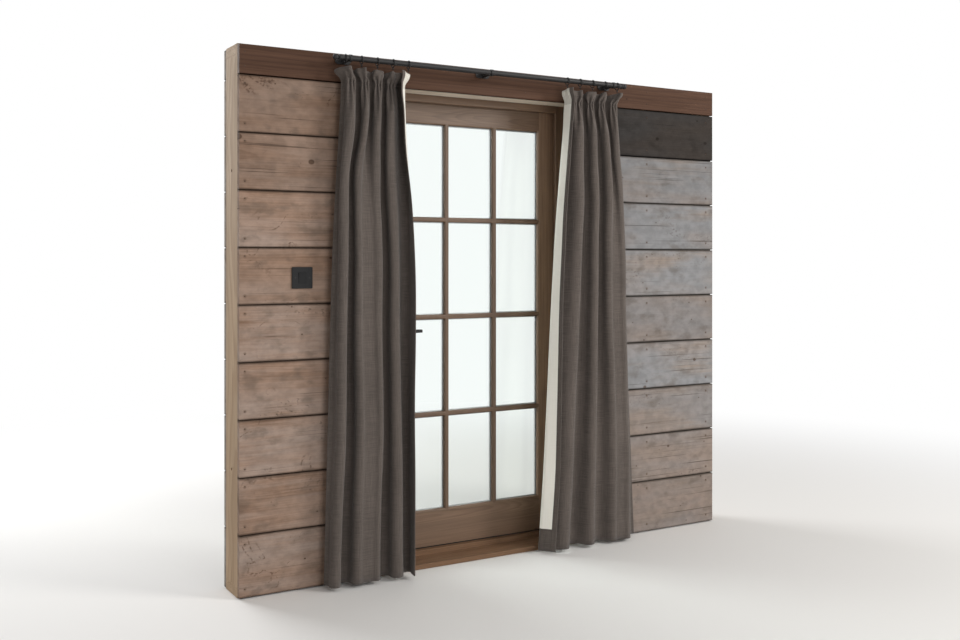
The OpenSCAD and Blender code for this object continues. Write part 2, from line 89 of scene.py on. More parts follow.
def ramp(tree, value, low, high, start=0.0, end=1.0):
    """A smooth step of value from low to high."""
    node = add_node(tree, "ShaderNodeMapRange", {0: value, 1: low, 2: high, 3: start, 4: end},
                    interpolation_type="SMOOTHSTEP")
    return node.outputs[0]


def new_material(name):
    """An empty material with a shader and an output."""
    material = bpy.data.materials.new(name)
    material.use_nodes = True
    tree = material.node_tree
    tree.nodes.clear()
    shader = add_node(tree, "ShaderNodeBsdfPrincipled", {"Specular IOR Level": 0.3})
    add_node(tree, "ShaderNodeOutputMaterial", {"Surface": shader.outputs[0]})
    return material, tree, shader


def seen_rays(tree):
    """1 for the rays that show the surround: from the camera, off gloss and through glass."""
    path = add_node(tree, "ShaderNodeLightPath").outputs
    both = calc(tree, "MAXIMUM", path["Is Camera Ray"], path["Is Glossy Ray"])
    return calc(tree, "MAXIMUM", both, path["Is Transmission Ray"])


def deselect():
    bpy.ops.object.select_all(action="DESELECT")


deselect()
bpy.ops.mesh.primitive_plane_add(size=120, location=(0, 0, -0.0006))
floor = bpy.context.active_object
floor.name = "floor"
floor_finish, tree, shader = new_material("studio_floor")
fill(tree, shader, {"Base Color": (0.80, 0.79, 0.775, 1), "Roughness": 0.75})
fade = times(tree, ramp(tree, length(tree, object_place(tree)), 1.7, 5.2), seen_rays(tree))
white = add_node(tree, "ShaderNodeEmission", {"Color": (1, 1, 1, 1), "Strength": 1.0})
mixed = add_node(tree, "ShaderNodeMixShader", {0: fade, 1: shader.outputs[0], 2: white.outputs[0]})
tree.links.new(mixed.outputs[0], tree.nodes["Material Output"].inputs["Surface"])
floor.data.materials.append(floor_finish)

world = bpy.data.worlds.new("studio")
bpy.context.scene.world = world
world.use_nodes = True
tree = world.node_tree
tree.nodes.clear()
soft = add_node(tree, "ShaderNodeBackground", {"Color": (1.0, 0.99, 0.97, 1), "Strength": 0.42})
plain = add_node(tree, "ShaderNodeBackground", {"Color": (1, 1, 1, 1), "Strength": 1.0})
mixed = add_node(tree, "ShaderNodeMixShader", {0: seen_rays(tree), 1: soft.outputs[0], 2: plain.outputs[0]})
add_node(tree, "ShaderNodeOutputWorld", {"Surface": mixed.outputs[0]})


def hang_lamp(name, place, aim, size, power, colour):
    """A square soft lamp at place, turned towards aim."""
    lamp = bpy.data.lights.new(name, "AREA")
    lamp.shape, lamp.size, lamp.energy, lamp.color = "SQUARE", size, power, colour
    holder = bpy.data.objects.new(name, lamp)
    holder.location = place
    holder.rotation_euler = (Vector(aim) - Vector(place)).to_track_quat("-Z", "Y").to_euler()
    holder.visible_camera = holder.visible_transmission = False
    bpy.context.scene.collection.objects.link(holder)


hang_lamp("key_lamp", (4.0, -4.6, 3.7), (0, 0, 1.1), 2.0, 220, (1.0, 0.97, 0.93))
hang_lamp("fill_lamp", (-0.2, -6.0, 2.1), (0, 0, 1.0), 3.0, 100, (0.97, 0.98, 1.0))
hang_lamp("outdoor_lamp", (-1.9, 4.4, 3.0), (0, 0, 1.1), 3.0, 210, (0.98, 0.99, 1.0))

eye = Vector((-2.4756, -4.1965, 1.3461))
aim = Vector((0.016, 0.0, 1.3461))
lens = bpy.data.cameras.new("camera")
lens.sensor_width = 36
lens.lens = 40
lens.shift_y = -0.064
lens.clip_start, lens.clip_end = 0.05, 200
camera = bpy.data.objects.new("camera", lens)
camera.location = eye
camera.rotation_euler = (aim - eye).to_track_quat("-Z", "Y").to_euler()
bpy.context.scene.collection.objects.link(camera)
bpy.context.scene.camera = camera
bpy.context.scene.view_settings.view_transform = "Standard"

# Wall frame. Planed softwood posts, plates and a lintel, nailed together before the boards go on.
# Only their ends, edges and the top plate show, round the sides and top of the bay.


def plus(tree, a, b):
    """a plus b."""
    return calc(tree, "ADD", a, b)


def scaled(tree, a, b, c):
    """a times b, plus c."""
    return calc(tree, "MULTIPLY_ADD", a, b, c)


def split(tree, vector):
    """The three parts of a vector."""
    return add_node(tree, "ShaderNodeSeparateXYZ", {0: vector}).outputs


def joined(tree, x, y, z=0.0):
    """A vector of three parts."""
    return add_node(tree, "ShaderNodeCombineXYZ", {0: x, 1: y, 2: z}).outputs[0]


def cloudy(tree, vector, scale=1.0, detail=2.0, **more):
    """Cloudy noise at a place. more fills the noise's other inputs."""
    inputs = {"Vector": vector, "Scale": scale, "Detail": detail, **more}
    return add_node(tree, "ShaderNodeTexNoise", inputs).outputs[0]


def chance(tree, number):
    """Outputs of a random draw that a number decides."""
    return add_node(tree, "ShaderNodeTexWhiteNoise", {"W": number}, noise_dimensions="1D").outputs


def make_wood_figure():
    """Node group: growth rings, fibres and knots of a plank. Its vector runs along, across and
    through the plank, in metres."""
    group = bpy.data.node_groups.new("wood_figure", "ShaderNodeTree")
    for name, kind, value in (("Vector", "NodeSocketVector", None), ("Seed", "NodeSocketFloat", 0.0),
                              ("Ring Width", "NodeSocketFloat", 0.006), ("Knots", "NodeSocketFloat", 0.4)):
        socket = group.interface.new_socket(name=name, in_out="INPUT", socket_type=kind)
        if value is not None:
            socket.default_value = value
    for name in ("Rings", "Fibre", "Knot", "Core", "Halo", "Height"):
        group.interface.new_socket(name=name, in_out="OUTPUT", socket_type="NodeSocketFloat")
    given = group.nodes.new("NodeGroupInput").outputs
    seed = given["Seed"]
    rand = split(group, chance(group, seed)["Color"])
    part = split(group, given["Vector"])
    along = scaled(group, seed, 3.71, part["X"])
    across, through = part["Y"], part["Z"]

    def stretched(x_scale, y_scale, z_scale, offset=0.0):
        """The place with each way scaled, for a texture that runs along the grain."""
        x = scaled(group, along, x_scale, offset)
        return joined(group, x, times(group, across, y_scale), times(group, through, z_scale))

    # One knot in each cell of a stretched net, where the cell's own colour allows it
    cell_x, cell_y = 3.1, 9.5
    cell = joined(group, times(group, along, cell_x), scaled(group, across, cell_y, times(group, seed, 5.3)))
    net = add_node(group, "ShaderNodeTexVoronoi", {"Vector": cell, "Scale": 1.0, "Randomness": 0.85},
                   voronoi_dimensions="2D").outputs
    off = add_node(group, "ShaderNodeVectorMath", {0: cell, 1: net["Position"]},
                   operation="SUBTRACT").outputs[0]
    real = add_node(group, "ShaderNodeVectorMath", {0: off, 1: (0.78 / cell_x, 1 / cell_y, 0)},
                    operation="MULTIPLY").outputs[0]
    tint = split(group, net["Color"])
    size = scaled(group, calc(group, "POWER", tint["X"], 4.0), 0.011, 0.0032)
    there = calc(group, "LESS_THAN", tint["Y"], given["Knots"])
    ratio = calc(group, "DIVIDE", length(group, real), size)
    ragged = cloudy(group, stretched(60, 60, 60), detail=1.0)
    ratio = scaled(group, ragged, 0.35, calc(group, "SUBTRACT", ratio, 0.17))
    knot = times(group, ramp(group, ratio, 0.75, 1.1, 1.0, 0.0), there)
    core = times(group, ramp(group, ratio, 0.2, 0.75, 1.0, 0.0), there)
    spread = calc(group, "POWER", calc(group, "DIVIDE", ratio, 2.4), 2.0)
    halo = times(group, calc(group, "EXPONENT", times(group, spread, -1.0)), there)
    pushed = times(group, times(group, split(group, real)["Y"], 0.8), halo)
    bent = calc(group, "SUBTRACT", across, pushed)

    # Growth rings about a pith that runs beside the plank, a little out of line with it
    drift = scaled(group, cloudy(group, stretched(1.1, 3.0, 3.0)), 0.05, -0.025)
    pith_y = scaled(group, rand["X"], 0.16, -0.08)
    ring_y = plus(group, calc(group, "SUBTRACT", bent, pith_y), drift)
    depth = scaled(group, rand["Y"], 0.07, 0.02)
    lean = times(group, scaled(group, rand["Z"], 0.08, -0.04), part["X"])
    ring_z = plus(group, plus(group, through, depth), plus(group, lean, drift))
    radius = length(group, joined(group, 0.0, ring_y, ring_z))
    fine = cloudy(group, stretched(4, 150, 150), detail=5.0, Roughness=0.68)
    coarse = cloudy(group, stretched(1.2, 26, 26, 4.0), detail=3.0)
    years = add_node(group, "ShaderNodeTexNoise",
                     {"W": scaled(group, radius, 60.0, seed), "Scale": 1.0, "Detail": 1.0},
                     noise_dimensions="1D").outputs[0]
    radius = scaled(group, years, 0.012, scaled(group, fine, 0.0016, radius))
    count = calc(group, "DIVIDE", radius, given["Ring Width"])
    turn = calc(group, "FRACT", count)
    late = times(group, ramp(group, turn, 0.25, 0.88), ramp(group, turn, 0.90, 1.0, 1.0, 0.0))
    dense = chance(group, calc(group, "FLOOR", count))["Value"]
    late = times(group, late, scaled(group, dense, 0.5, 0.6))
    fibre = plus(group, times(group, fine, 0.6), times(group, coarse, 0.4))
    height = plus(group, times(group, late, 0.45), times(group, fine, 0.55))
    height = scaled(group, knot, 0.35, height)
    add_node(group, "NodeGroupOutput", {"Rings": late, "Fibre": fibre, "Knot": knot, "Core": core,
                                        "Halo": halo, "Height": height})
    return group


wood_figure = make_wood_figure()


def blend_colour(tree, share, a, b):
    """Colour b laid over colour a by a share."""
    return add_node(tree, "ShaderNodeMix", {0: share, 6: a, 7: b}, data_type="RGBA").outputs[2]


def stain(tree, colour, mask, strength, tint):
    """A tint laid over the colour where the mask lets it, at a strength."""
    return blend_colour(tree, times(tree, mask, strength), colour, (*tint, 1))


def toned(tree, colour, tone):
    """The colour made lighter or darker as a whole."""
    return add_node(tree, "ShaderNodeVectorMath", {0: colour, 1: tone}, operation="MULTIPLY").outputs[0]


def bumped(tree, strength, distance, height):
    """A fine relief that catches the light."""
    inputs = {"Strength": strength, "Distance": distance, "Height": height}
    return add_node(tree, "ShaderNodeBump", inputs).outputs[0]


def stored(tree, name, output="Vector"):
    """A value that the piece's mesh stores under a name."""
    return add_node(tree, "ShaderNodeAttribute", attribute_name=name).outputs[output]


def timber(name, early, late, knot=(0.05, 0.025, 0.014), ring=0.006, knots=0.35, rough=0.7, bump=0.45,
           figure=0.55, gloss=0.16, own_place="", seed=1.0):
    """A plank's finish: early and late wood, fibres and knots. own_place names the order of the
    object's axes along, across and through the plank; without it the piece's own attributes say."""
    material, tree, shader = new_material(name)
    if own_place:
        axes = split(tree, object_place(tree))
        place, tone = joined(tree, *(axes[axis] for axis in own_place)), (1, 1, 1)
    else:
        place, plank = stored(tree, "grain"), split(tree, stored(tree, "plank"))
        seed, tone = plank["X"], plank["Y"]
    wood = add_node(tree, "ShaderNodeGroup", {
        "Vector": place, "Seed": seed, "Ring Width": ring, "Knots": knots}, node_tree=wood_figure).outputs
    colour = blend_colour(tree, times(tree, wood["Rings"], figure), (*early, 1), (*late, 1))
    colour = toned(tree, colour, ramp(tree, wood["Fibre"], 0.3, 0.7, 0.78, 1.16))
    heart = tuple(0.4 * a + 0.6 * b for a, b in zip(late, knot))
    for mask, strength, tint in (("Halo", 0.35, late), ("Knot", 0.85, knot), ("Core", 0.8, heart)):
        colour = stain(tree, colour, wood[mask], strength, tint)
    fill(tree, shader, {"Base Color": toned(tree, colour, tone), "Specular IOR Level": gloss,
                        "Roughness": ramp(tree, wood["Fibre"], 0.2, 0.8, rough + 0.1, rough - 0.1),
                        "Normal": bumped(tree, bump, 0.0012, wood["Height"])})
    return material, tree, shader, wood, colour


def give(piece, *materials):
    """Puts these materials on a piece, in place of its own."""
    piece.data.materials.clear()
    for material in materials:
        piece.data.materials.append(material)


FRAME_EARLY, FRAME_LATE = (0.44, 0.315, 0.205), (0.30, 0.19, 0.11)
post_timber = timber("sawn_softwood_upright", FRAME_EARLY, FRAME_LATE, own_place="ZXY", seed=3.0)[0]
rail_timber = timber("sawn_softwood_level", FRAME_EARLY, FRAME_LATE, own_place="XYZ", seed=7.0)[0]
POSTS = ("stud_left_end", "stud_left_door", "stud_right_door", "stud_right_middle", "corner_post")
for name in POSTS:
    give(nodes[name], post_timber)
for name in ("sole_plate_left", "sole_plate_right", "lintel", "top_plate"):
    give(nodes[name], rail_timber)

# Lining boards. Wide old softwood boards laid level with an open joint between two courses, each
# with a thin lip behind the joint, face-nailed to the posts and washed thinly with lime.

RISE, COURSES = 0.228, 12
BOARD = 0.025
LEAST_BOARD = 0.02
JOINT = 0.004
JOINT_DEPTH = 0.016
BOARD_EASE = 0.0022
EDGE_WANDER, EDGE_TUCK = 0.0011, 0.0004
FACE_DEPTH, FACE_WANDER = 0.004, 0.0005
NAIL_EDGE = 0.034
NAIL_HEAD, NAIL_FLATNESS, NAIL_SUNK = 0.0027, 0.42, 0.0004


def unselect(mesh):
    """Leaves no corner, edge or face of the mesh selected."""
    for group in (mesh.vertices, mesh.edges, mesh.polygons):
        group.foreach_set("select", [False] * len(group))


def choose_edges(piece, test):
    """Selects the edges whose two ends pass the test, and nothing else."""
    mesh = piece.data
    unselect(mesh)
    bpy.context.tool_settings.mesh_select_mode = (False, True, False)
    for edge in mesh.edges:
        edge.select = test(*(mesh.vertices[i].co for i in edge.vertices))


def choose_faces(piece, test):
    """Selects the faces that pass the test of centre and normal, and nothing else."""
    unselect(piece.data)
    bpy.context.tool_settings.mesh_select_mode = (False, False, True)
    for face in piece.data.polygons:
        face.select = test(face.center, face.normal)


def in_edit(work, **options):
    """Runs one edit-mode operator on what is selected in the active piece."""
    bpy.ops.object.mode_set(mode="EDIT")
    work(**options)
    bpy.ops.object.mode_set(mode="OBJECT")


def push_in(move):
    """Extrudes the selected faces by a move."""
    in_edit(bpy.ops.mesh.extrude_region_move, TRANSFORM_OT_translate={"value": move})


def settle():
    """Takes the active piece's place, turn and size into its mesh."""
    bpy.ops.object.transform_apply(location=True, rotation=True, scale=True)
    return bpy.context.active_object


def add_block(name, low, high):
    """A rectangular block between two corners, with its place in its mesh."""
    low, high = Vector(low), Vector(high)
    deselect()
    bpy.ops.mesh.primitive_cube_add(size=1, location=(low + high) / 2, scale=high - low)
    block = settle()
    block.name = name
    return block


def read_all(items, field, width=1, kind=float):
    """One field of all the items, as an array."""
    values = np.empty(len(items) * width, kind)
    items.foreach_get(field, values)
    return values.reshape(-1, width) if width > 1 else values


def mark_grain(piece, along, across, middle, seed, tone=1.0, half=0.0, faces=None, coolness=0.5):
    """Stores every corner's place along, across and through the plank, and the plank's own seed,
    tone, half width and how cool its wash has turned."""
    mesh = piece.data
    a, b = Vector(along), Vector(across)
    axes = np.array([a, b, a.cross(b)])
    local = (read_all(mesh.vertices, "co", 3) - np.array(middle)) @ axes.T
    corner = read_all(mesh.loops, "vertex_index", kind=int)
    for name, values, domain in (("grain", local[corner], "CORNER"),
                                 ("plank", np.tile((seed, tone, half), (len(mesh.polygons), 1)), "FACE")):
        layer = mesh.attributes.get(name) or mesh.attributes.new(name, "FLOAT_VECTOR", domain)
        old = read_all(layer.data, "vector", 3)
        if faces is None:
            old[:] = values
        else:
            keep = np.array([faces(f.center) for f in mesh.polygons])
            if domain == "CORNER":
                keep = np.repeat(keep, [f.loop_total for f in mesh.polygons])
            old[keep] = values[keep]
        layer.data.foreach_set("vector", old.ravel())
    cool = mesh.attributes.get("coolness") or mesh.attributes.new("coolness", "FLOAT", "FACE")
    if faces is None:
        cool.data.foreach_set("value", np.full(len(mesh.polygons), coolness))


def same(a, b):
    return abs(a - b) < 1e-4


def lay_board(name, x_low, x_high, z_low, z_high, front, seed, tone, coolness=0.5, lip=True):
    """One level board, a little uneven along its edges and face. front is the y of its face."""
    inward = 1 if front < 0 else -1
    back = front + inward * BOARD
    board = add_block(name, (x_low, min(front, back), z_low), (x_high, max(front, back), z_high))
    choose_edges(board, lambda p, q: abs(p.x - q.x) > 0.02)
    in_edit(bpy.ops.mesh.subdivide, number_cuts=max(2, round((x_high - x_low) / 0.09)))
    if lip:
        split = front + inward * JOINT_DEPTH
        choose_faces(board, lambda c, n: True)
        in_edit(bpy.ops.mesh.bisect, plane_co=(0, split, 0), plane_no=(0, 1, 0))
        choose_faces(board, lambda c, n: n.z < -0.5 and inward * (c.y - split) > 0)
        push_in((0, 0, -JOINT))
    choose_edges(board, lambda p, q: same(p.y, front) and same(q.y, front) and same(p.z, q.z)
                 and (same(p.z, z_low) or same(p.z, z_high)))
    in_edit(bpy.ops.mesh.bevel, offset=BOARD_EASE, segments=2, affect="EDGES", profile=0.5)
    middle = (z_low + z_high) / 2
    for vertex in board.data.vertices:
        x, y, z = vertex.co
        depth = inward * (y - front)
        if z_low - 1e-4 < z < z_high + 1e-4 and depth < JOINT_DEPTH - 0.0005:
            side = 1 if z > middle else -1
            wander = noise.noise(Vector((x * 2.7, seed * 3.1, side * 5.0)))
            vertex.co.z += EDGE_WANDER * wander - side * EDGE_TUCK
        if depth < FACE_DEPTH:
            vertex.co.y += inward * FACE_WANDER * (1 + noise.noise(Vector((x * 1.9, seed, z * 5.0))))
    mark_grain(board, (1, 0, 0), (0, 0, 1), ((x_low + x_high) / 2, front, middle), seed, tone,
               (z_high - z_low) / 2, coolness=coolness)
    return board


def join_pieces(name, pieces):
    """Makes one piece of several."""
    deselect()
    for piece in pieces:
        piece.select_set(True)
    bpy.context.view_layer.objects.active = pieces[0]
    bpy.ops.object.join()
    pieces[0].name = name
    return pieces[0]


def board_ends(z_low, z_high):
    """Heights where boards meet, with their joints at one height all round the hut."""
    joints = [COURSE_TOP - k * RISE for k in range(COURSES)]
    return [z_low, *sorted(z for z in joints if z_low + LEAST_BOARD < z < z_high - LEAST_BOARD), z_high]


def lay_courses(name, x_low, x_high, z_low, z_high, front, seeds, tones, coolness=(0.5,)):
    """Boards from the floor up."""
    ends = board_ends(z_low, z_high)
    boards = []
    for k, (low, high) in enumerate(zip(ends, ends[1:])):
        low = low + (JOINT / 2 if k else 0)
        high = high - (JOINT / 2 if k < len(ends) - 2 else 0)
        boards.append(lay_board(f"{name}_{k}", x_low, x_high, low, high, front, seeds + 1.37 * k,
                                tones[k % len(tones)], coolness[k % len(coolness)], lip=k > 0))
    return join_pieces(name, boards)


def weather(tree, shader, wood, colour, warm_wash, cool_wash, amount, grime, nails, spread=(0.50, 0.98),
            trails=0.35):
    """Lime wash brushed on unevenly, and a stain of its own on each board: drying cracks, small
    dark spots, mildew in clusters, trails of old damp, dirt along the joints, rust round nails."""
    place, plank = stored(tree, "grain"), split(tree, stored(tree, "plank"))
    part = split(tree, place)
    damp, dark_spot, mildew = (0.085, 0.045, 0.028), (0.075, 0.042, 0.028), (0.075, 0.055, 0.042)
    rust_brown, smoke = (0.10, 0.06, 0.038), (0.10, 0.078, 0.062)

    def noise_over(x_scale, y_scale, shift=0.0, detail=3.0, bend=0.0):
        """Cloudy noise whose grain is stretched along the board."""
        x = scaled(tree, part["X"], x_scale, shift)
        y = scaled(tree, part["Y"], y_scale, times(tree, part["Z"], y_scale))
        return cloudy(tree, joined(tree, x, y, plank["X"]), detail=detail, Distortion=bend)

    patch = noise_over(2.2, 9.0, detail=4.0)
    brushed = noise_over(3.0, 70.0, 5.0)
    cover = plus(tree, patch, times(tree, plus(tree, wood["Fibre"], brushed), 0.30))
    cover = times(tree, ramp(tree, cover, *spread), scaled(tree, wood["Knot"], -0.75, 1.0))
    turned = ramp(tree, noise_over(1.3, 5.0, 9.0), 0.35, 0.65, -0.3, 0.3)
    tint = calc(tree, "ADD", stored(tree, "coolness", "Fac"), turned, clamp=True)
    wash = blend_colour(tree, tint, (*warm_wash, 1), (*cool_wash, 1))
    colour = blend_colour(tree, times(tree, cover, amount), colour, wash)

    crack = times(tree, ramp(tree, noise_over(1.6, 150.0, 3.0, 1.0), 0.655, 0.70),
                  ramp(tree, noise_over(2.0, 12.0, 7.0), 0.45, 0.60))
    trail = calc(tree, "ABSOLUTE", calc(tree, "SUBTRACT", noise_over(4.2, 6.0, 13.0, 2.0, 0.6), 0.5))
    trail = times(tree, ramp(tree, trail, 0.001, 0.012, 1.0, 0.0),
                  ramp(tree, noise_over(2.4, 3.5, 17.0), 0.55, 0.63))
    speckled = times(tree, trail, ramp(tree, noise_over(90, 90, 2.0), 0.42, 0.58))
    cells = add_node(tree, "ShaderNodeTexVoronoi", {"Vector": place, "Scale": 34.0}).outputs
    cell = split(tree, cells["Color"])
    spot = ramp(tree, cells["Distance"], times(tree, cell["X"], 0.06), 0.11, 1.0, 0.0)
    spot = times(tree, spot, calc(tree, "LESS_THAN", cell["Y"], 0.30))
    spot = times(tree, spot, ramp(tree, noise_over(4.0, 5.0, 21.0), 0.50, 0.60))
    cluster = times(tree, ramp(tree, noise_over(70, 105, 37.0, 2.0), 0.57, 0.68),
                    ramp(tree, noise_over(3.4, 8.0, 41.0), 0.57, 0.68))
    for mask, strength, tint in ((crack, 0.6, grime), (speckled, trails, damp), (spot, 0.7, dark_spot),
                                 (cluster, 0.6, mildew)):
        colour = stain(tree, colour, mask, strength, tint)
    colour = toned(tree, colour, ramp(tree, noise_over(22, 30, 31.0, 4.0), 0.3, 0.7, 0.88, 1.10))

    edge = calc(tree, "SUBTRACT", plank["Z"], calc(tree, "ABSOLUTE", part["Y"]))
    rough_edge = scaled(tree, patch, 0.012, calc(tree, "SUBTRACT", edge, 0.006))
    world_x, side = split(tree, object_place(tree))["X"], None
    for x in nails:
        near = calc(tree, "ABSOLUTE", calc(tree, "SUBTRACT", world_x, x))
        side = near if side is None else calc(tree, "MINIMUM", side, near)
    from_nail = length(tree, joined(tree, side, calc(tree, "SUBTRACT", edge, NAIL_EDGE)))
    rusty = ramp(tree, scaled(tree, brushed, 0.006, from_nail), 0.005, 0.013, 1.0, 0.0)
    smudge = ramp(tree, noise_over(9.0, 14.0, 25.0, 4.0), 0.54, 0.70)
    for mask, strength, tint in ((ramp(tree, rough_edge, 0.0, 0.009, 1.0, 0.0), 0.7, grime),
                                 (rusty, 0.5, rust_brown), (smudge, 0.42, smoke)):
        colour = stain(tree, colour, mask, strength, tint)
    fill(tree, shader, {"Base Color": toned(tree, colour, plank["Y"])})
    comb = add_node(tree, "ShaderNodeTexWave", {
        "Vector": place, "Scale": 42.0, "Distortion": 3.0, "Detail": 1.0, "Detail Scale": 0.4}).outputs[1]
    marks = scaled(tree, crack, -0.8, times(tree, comb, ramp(tree, patch, 0.5, 0.68, 0.0, 0.25)))
    relief = next(n for n in tree.nodes if n.type == "BUMP")
    fill(tree, relief, {"Height": plus(tree, wood["Height"], marks)})


def drive_nails(name, spots, front):
    """Low round nail heads at the given places on a face."""
    heads = []
    inward = 1 if front < 0 else -1
    for x, z in spots:
        deselect()
        bpy.ops.mesh.primitive_uv_sphere_add(segments=10, ring_count=6, radius=NAIL_HEAD,
                                             location=(x, front + inward * NAIL_SUNK, z),
                                             scale=(1, NAIL_FLATNESS, 1))
        heads.append(settle())
    nails = join_pieces(name, heads)
    bpy.ops.object.shade_smooth()
    give(nails, nail_iron)
    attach(nails, "wall")


nail_iron, tree, shader = new_material("old_nail_iron")
speck = ramp(tree, cloudy(tree, object_place(tree), 900.0), 0.35, 0.65)
rusty = blend_colour(tree, speck, (0.055, 0.045, 0.038, 1), (0.11, 0.065, 0.042, 1))
fill(tree, shader, {"Base Color": rusty, "Metallic": 0.6, "Roughness": 0.62})

left_low, left_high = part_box("inner_boards_left")
right_low, right_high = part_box("inner_boards_right")
COURSE_TOP = left_high.z
FRONT = left_low.y
post_x = [(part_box(name)[0].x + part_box(name)[1].x) / 2 for name in POSTS]
left_posts, right_posts = post_x[:2], post_x[2:]
NAILED_BOARD = 0.12


def nail_spots(posts, z_low, z_high):
    """Two nails in each board at each post, but for the narrow boards."""
    ends = board_ends(z_low, z_high)
    return [(x, z) for x in posts for low, high in zip(ends, ends[1:]) if high - low > NAILED_BOARD
            for z in (low + NAIL_EDGE, high - NAIL_EDGE)]


# Left of the door the boards are warm and right of it grey: partly their own wood and wash, partly painted
# light, warm lamplight on the left and cool daylight on the right.
lamplit_warm_boards = timber("limed_boards_warm_lamplit", (0.262, 0.163, 0.110), (0.170, 0.094, 0.058), knots=0.40,
                     ring=0.0075, rough=0.82, bump=0.5, figure=0.45)
weather(*lamplit_warm_boards[1:], warm_wash=(0.312, 0.216, 0.163), cool_wash=(0.325, 0.260, 0.222), amount=0.8,
        grime=(0.040, 0.024, 0.016), nails=left_posts, trails=0.75)
# The top two boards are darker and warmer than the rest: partly their own wood, partly painted shade under
# the ceiling.
lining_left = lay_courses("lining_left", left_low.x, left_high.x, left_low.z, COURSE_TOP, FRONT, 11.0,
                          (0.98, 1.0, 1.04, 1.0, 1.05, 0.96, 1.06, 0.86, 0.78),
                          (0.7, 0.5, 0.8, 0.6, 0.7, 0.2, 0.5, 0.1, 0.0))
give(lining_left, lamplit_warm_boards[0])
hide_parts("inner_boards_left")

daylit_cool_boards = timber("limed_boards_grey_daylit", (0.27, 0.215, 0.175), (0.18, 0.135, 0.105), knots=0.46, ring=0.0075,
                     rough=0.82, bump=0.5, figure=0.35)
weather(*daylit_cool_boards[1:], warm_wash=(0.275, 0.219, 0.187), cool_wash=(0.230, 0.235, 0.244), amount=0.92,
        grime=(0.04, 0.03, 0.022), nails=right_posts, spread=(0.40, 0.86))
lining_right = lay_courses("lining_right", right_low.x, right_high.x, right_low.z, COURSE_TOP, FRONT, 31.0,
                           (0.90, 0.94, 0.96, 1.04, 0.88, 0.98, 0.92, 0.84, 0.13),
                           (0.1, 0.15, 0.4, 1.0, 0.45, 1.0, 1.0, 0.7, 0.3))
give(lining_right, daylit_cool_boards[0])
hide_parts("inner_boards_right")
for piece in (lining_left, lining_right):
    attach(piece, "wall")
drive_nails("lining_nails_left", nail_spots(left_posts, left_low.z, COURSE_TOP), FRONT)
drive_nails("lining_nails_right", nail_spots(right_posts, right_low.z, COURSE_TOP), FRONT)

# Head board. One long board under the roof, of old timber stained dark brown, nailed over the
# lintel and the posts. The pole's brackets are screwed to it.

head_low, head_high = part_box("head_board")
dark_board = timber("dark_stained_board", (0.078, 0.038, 0.022), (0.038, 0.017, 0.011),
                    knot=(0.02, 0.01, 0.007), knots=0.3, ring=0.012, rough=0.68, bump=0.22, figure=0.45)[0]
head_board = lay_board("head_plank", head_low.x, head_high.x, head_low.z, head_high.z, FRONT,
                       seed=5.5, tone=1.0, lip=False)
give(head_board, dark_board)
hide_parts("head_board")
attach(head_board, "wall")
lintel_nails = (-0.2, 0.2)
head_nail_z = (head_low.z + 0.03, head_high.z - 0.03)
head_nails = [(x, z) for x in (*left_posts, *lintel_nails, *right_posts) for z in head_nail_z]
drive_nails("head_board_nails", head_nails, FRONT)

# Outside boards. The same boards on the weather side, silvered and streaked by rain, with their
# nails through to the posts.

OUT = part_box("outer_boards_left")[1].y
grey_boards = timber("weathered_boards", (0.27, 0.205, 0.155), (0.14, 0.10, 0.075), knots=0.36, ring=0.0075,
                     rough=0.85, bump=0.6)
weather(*grey_boards[1:], warm_wash=(0.32, 0.285, 0.25), cool_wash=(0.31, 0.305, 0.295), amount=0.8,
        grime=(0.035, 0.030, 0.024), nails=[*left_posts, *right_posts])
CLADDING_TONES = (0.95, 1.05, 0.9, 1.0, 0.97, 1.08, 0.92)
over_nails = (-0.4, 0.0, 0.4)
for side, seed, posts in (("left", 51.0, left_posts), ("right", 71.0, right_posts),
                          ("over", 91.0, over_nails)):
    name, node = "cladding_" + side, "outer_boards_" + side
    low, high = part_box(node)
    piece = lay_courses(name, low.x, high.x, low.z, high.z, OUT, seed, CLADDING_TONES)
    give(piece, grey_boards[0])
    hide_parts(node)
    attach(piece, "wall")
    single_row = [(x, (low.z + high.z) / 2) for x in posts]
    drive_nails(name + "_nails", single_row if side == "over" else nail_spots(posts, low.z, high.z), OUT)

# Reveal. Dark stained boards line the sides of the opening from the wall's face to the door frame, and
# a board lines its top, coloured pale cream as painted daylight from the glass. Each is nailed to a stud or
# the lintel.

DOUBLES = 0.00001
FLAT_WITHIN, SHARP_FROM = math.radians(0.6), math.radians(40)


def smooth_arrises(piece, degrees):
    """Shades the rounded arrises smooth, while the flat faces stay flat."""
    bpy.ops.object.shade_smooth_by_angle(angle=math.radians(degrees))
    flat_faces = piece.modifiers.new("flat_faces", "WEIGHTED_NORMAL")
    flat_faces.weight, flat_faces.keep_sharp = 100, True
    bpy.ops.object.modifier_apply(modifier="flat_faces")


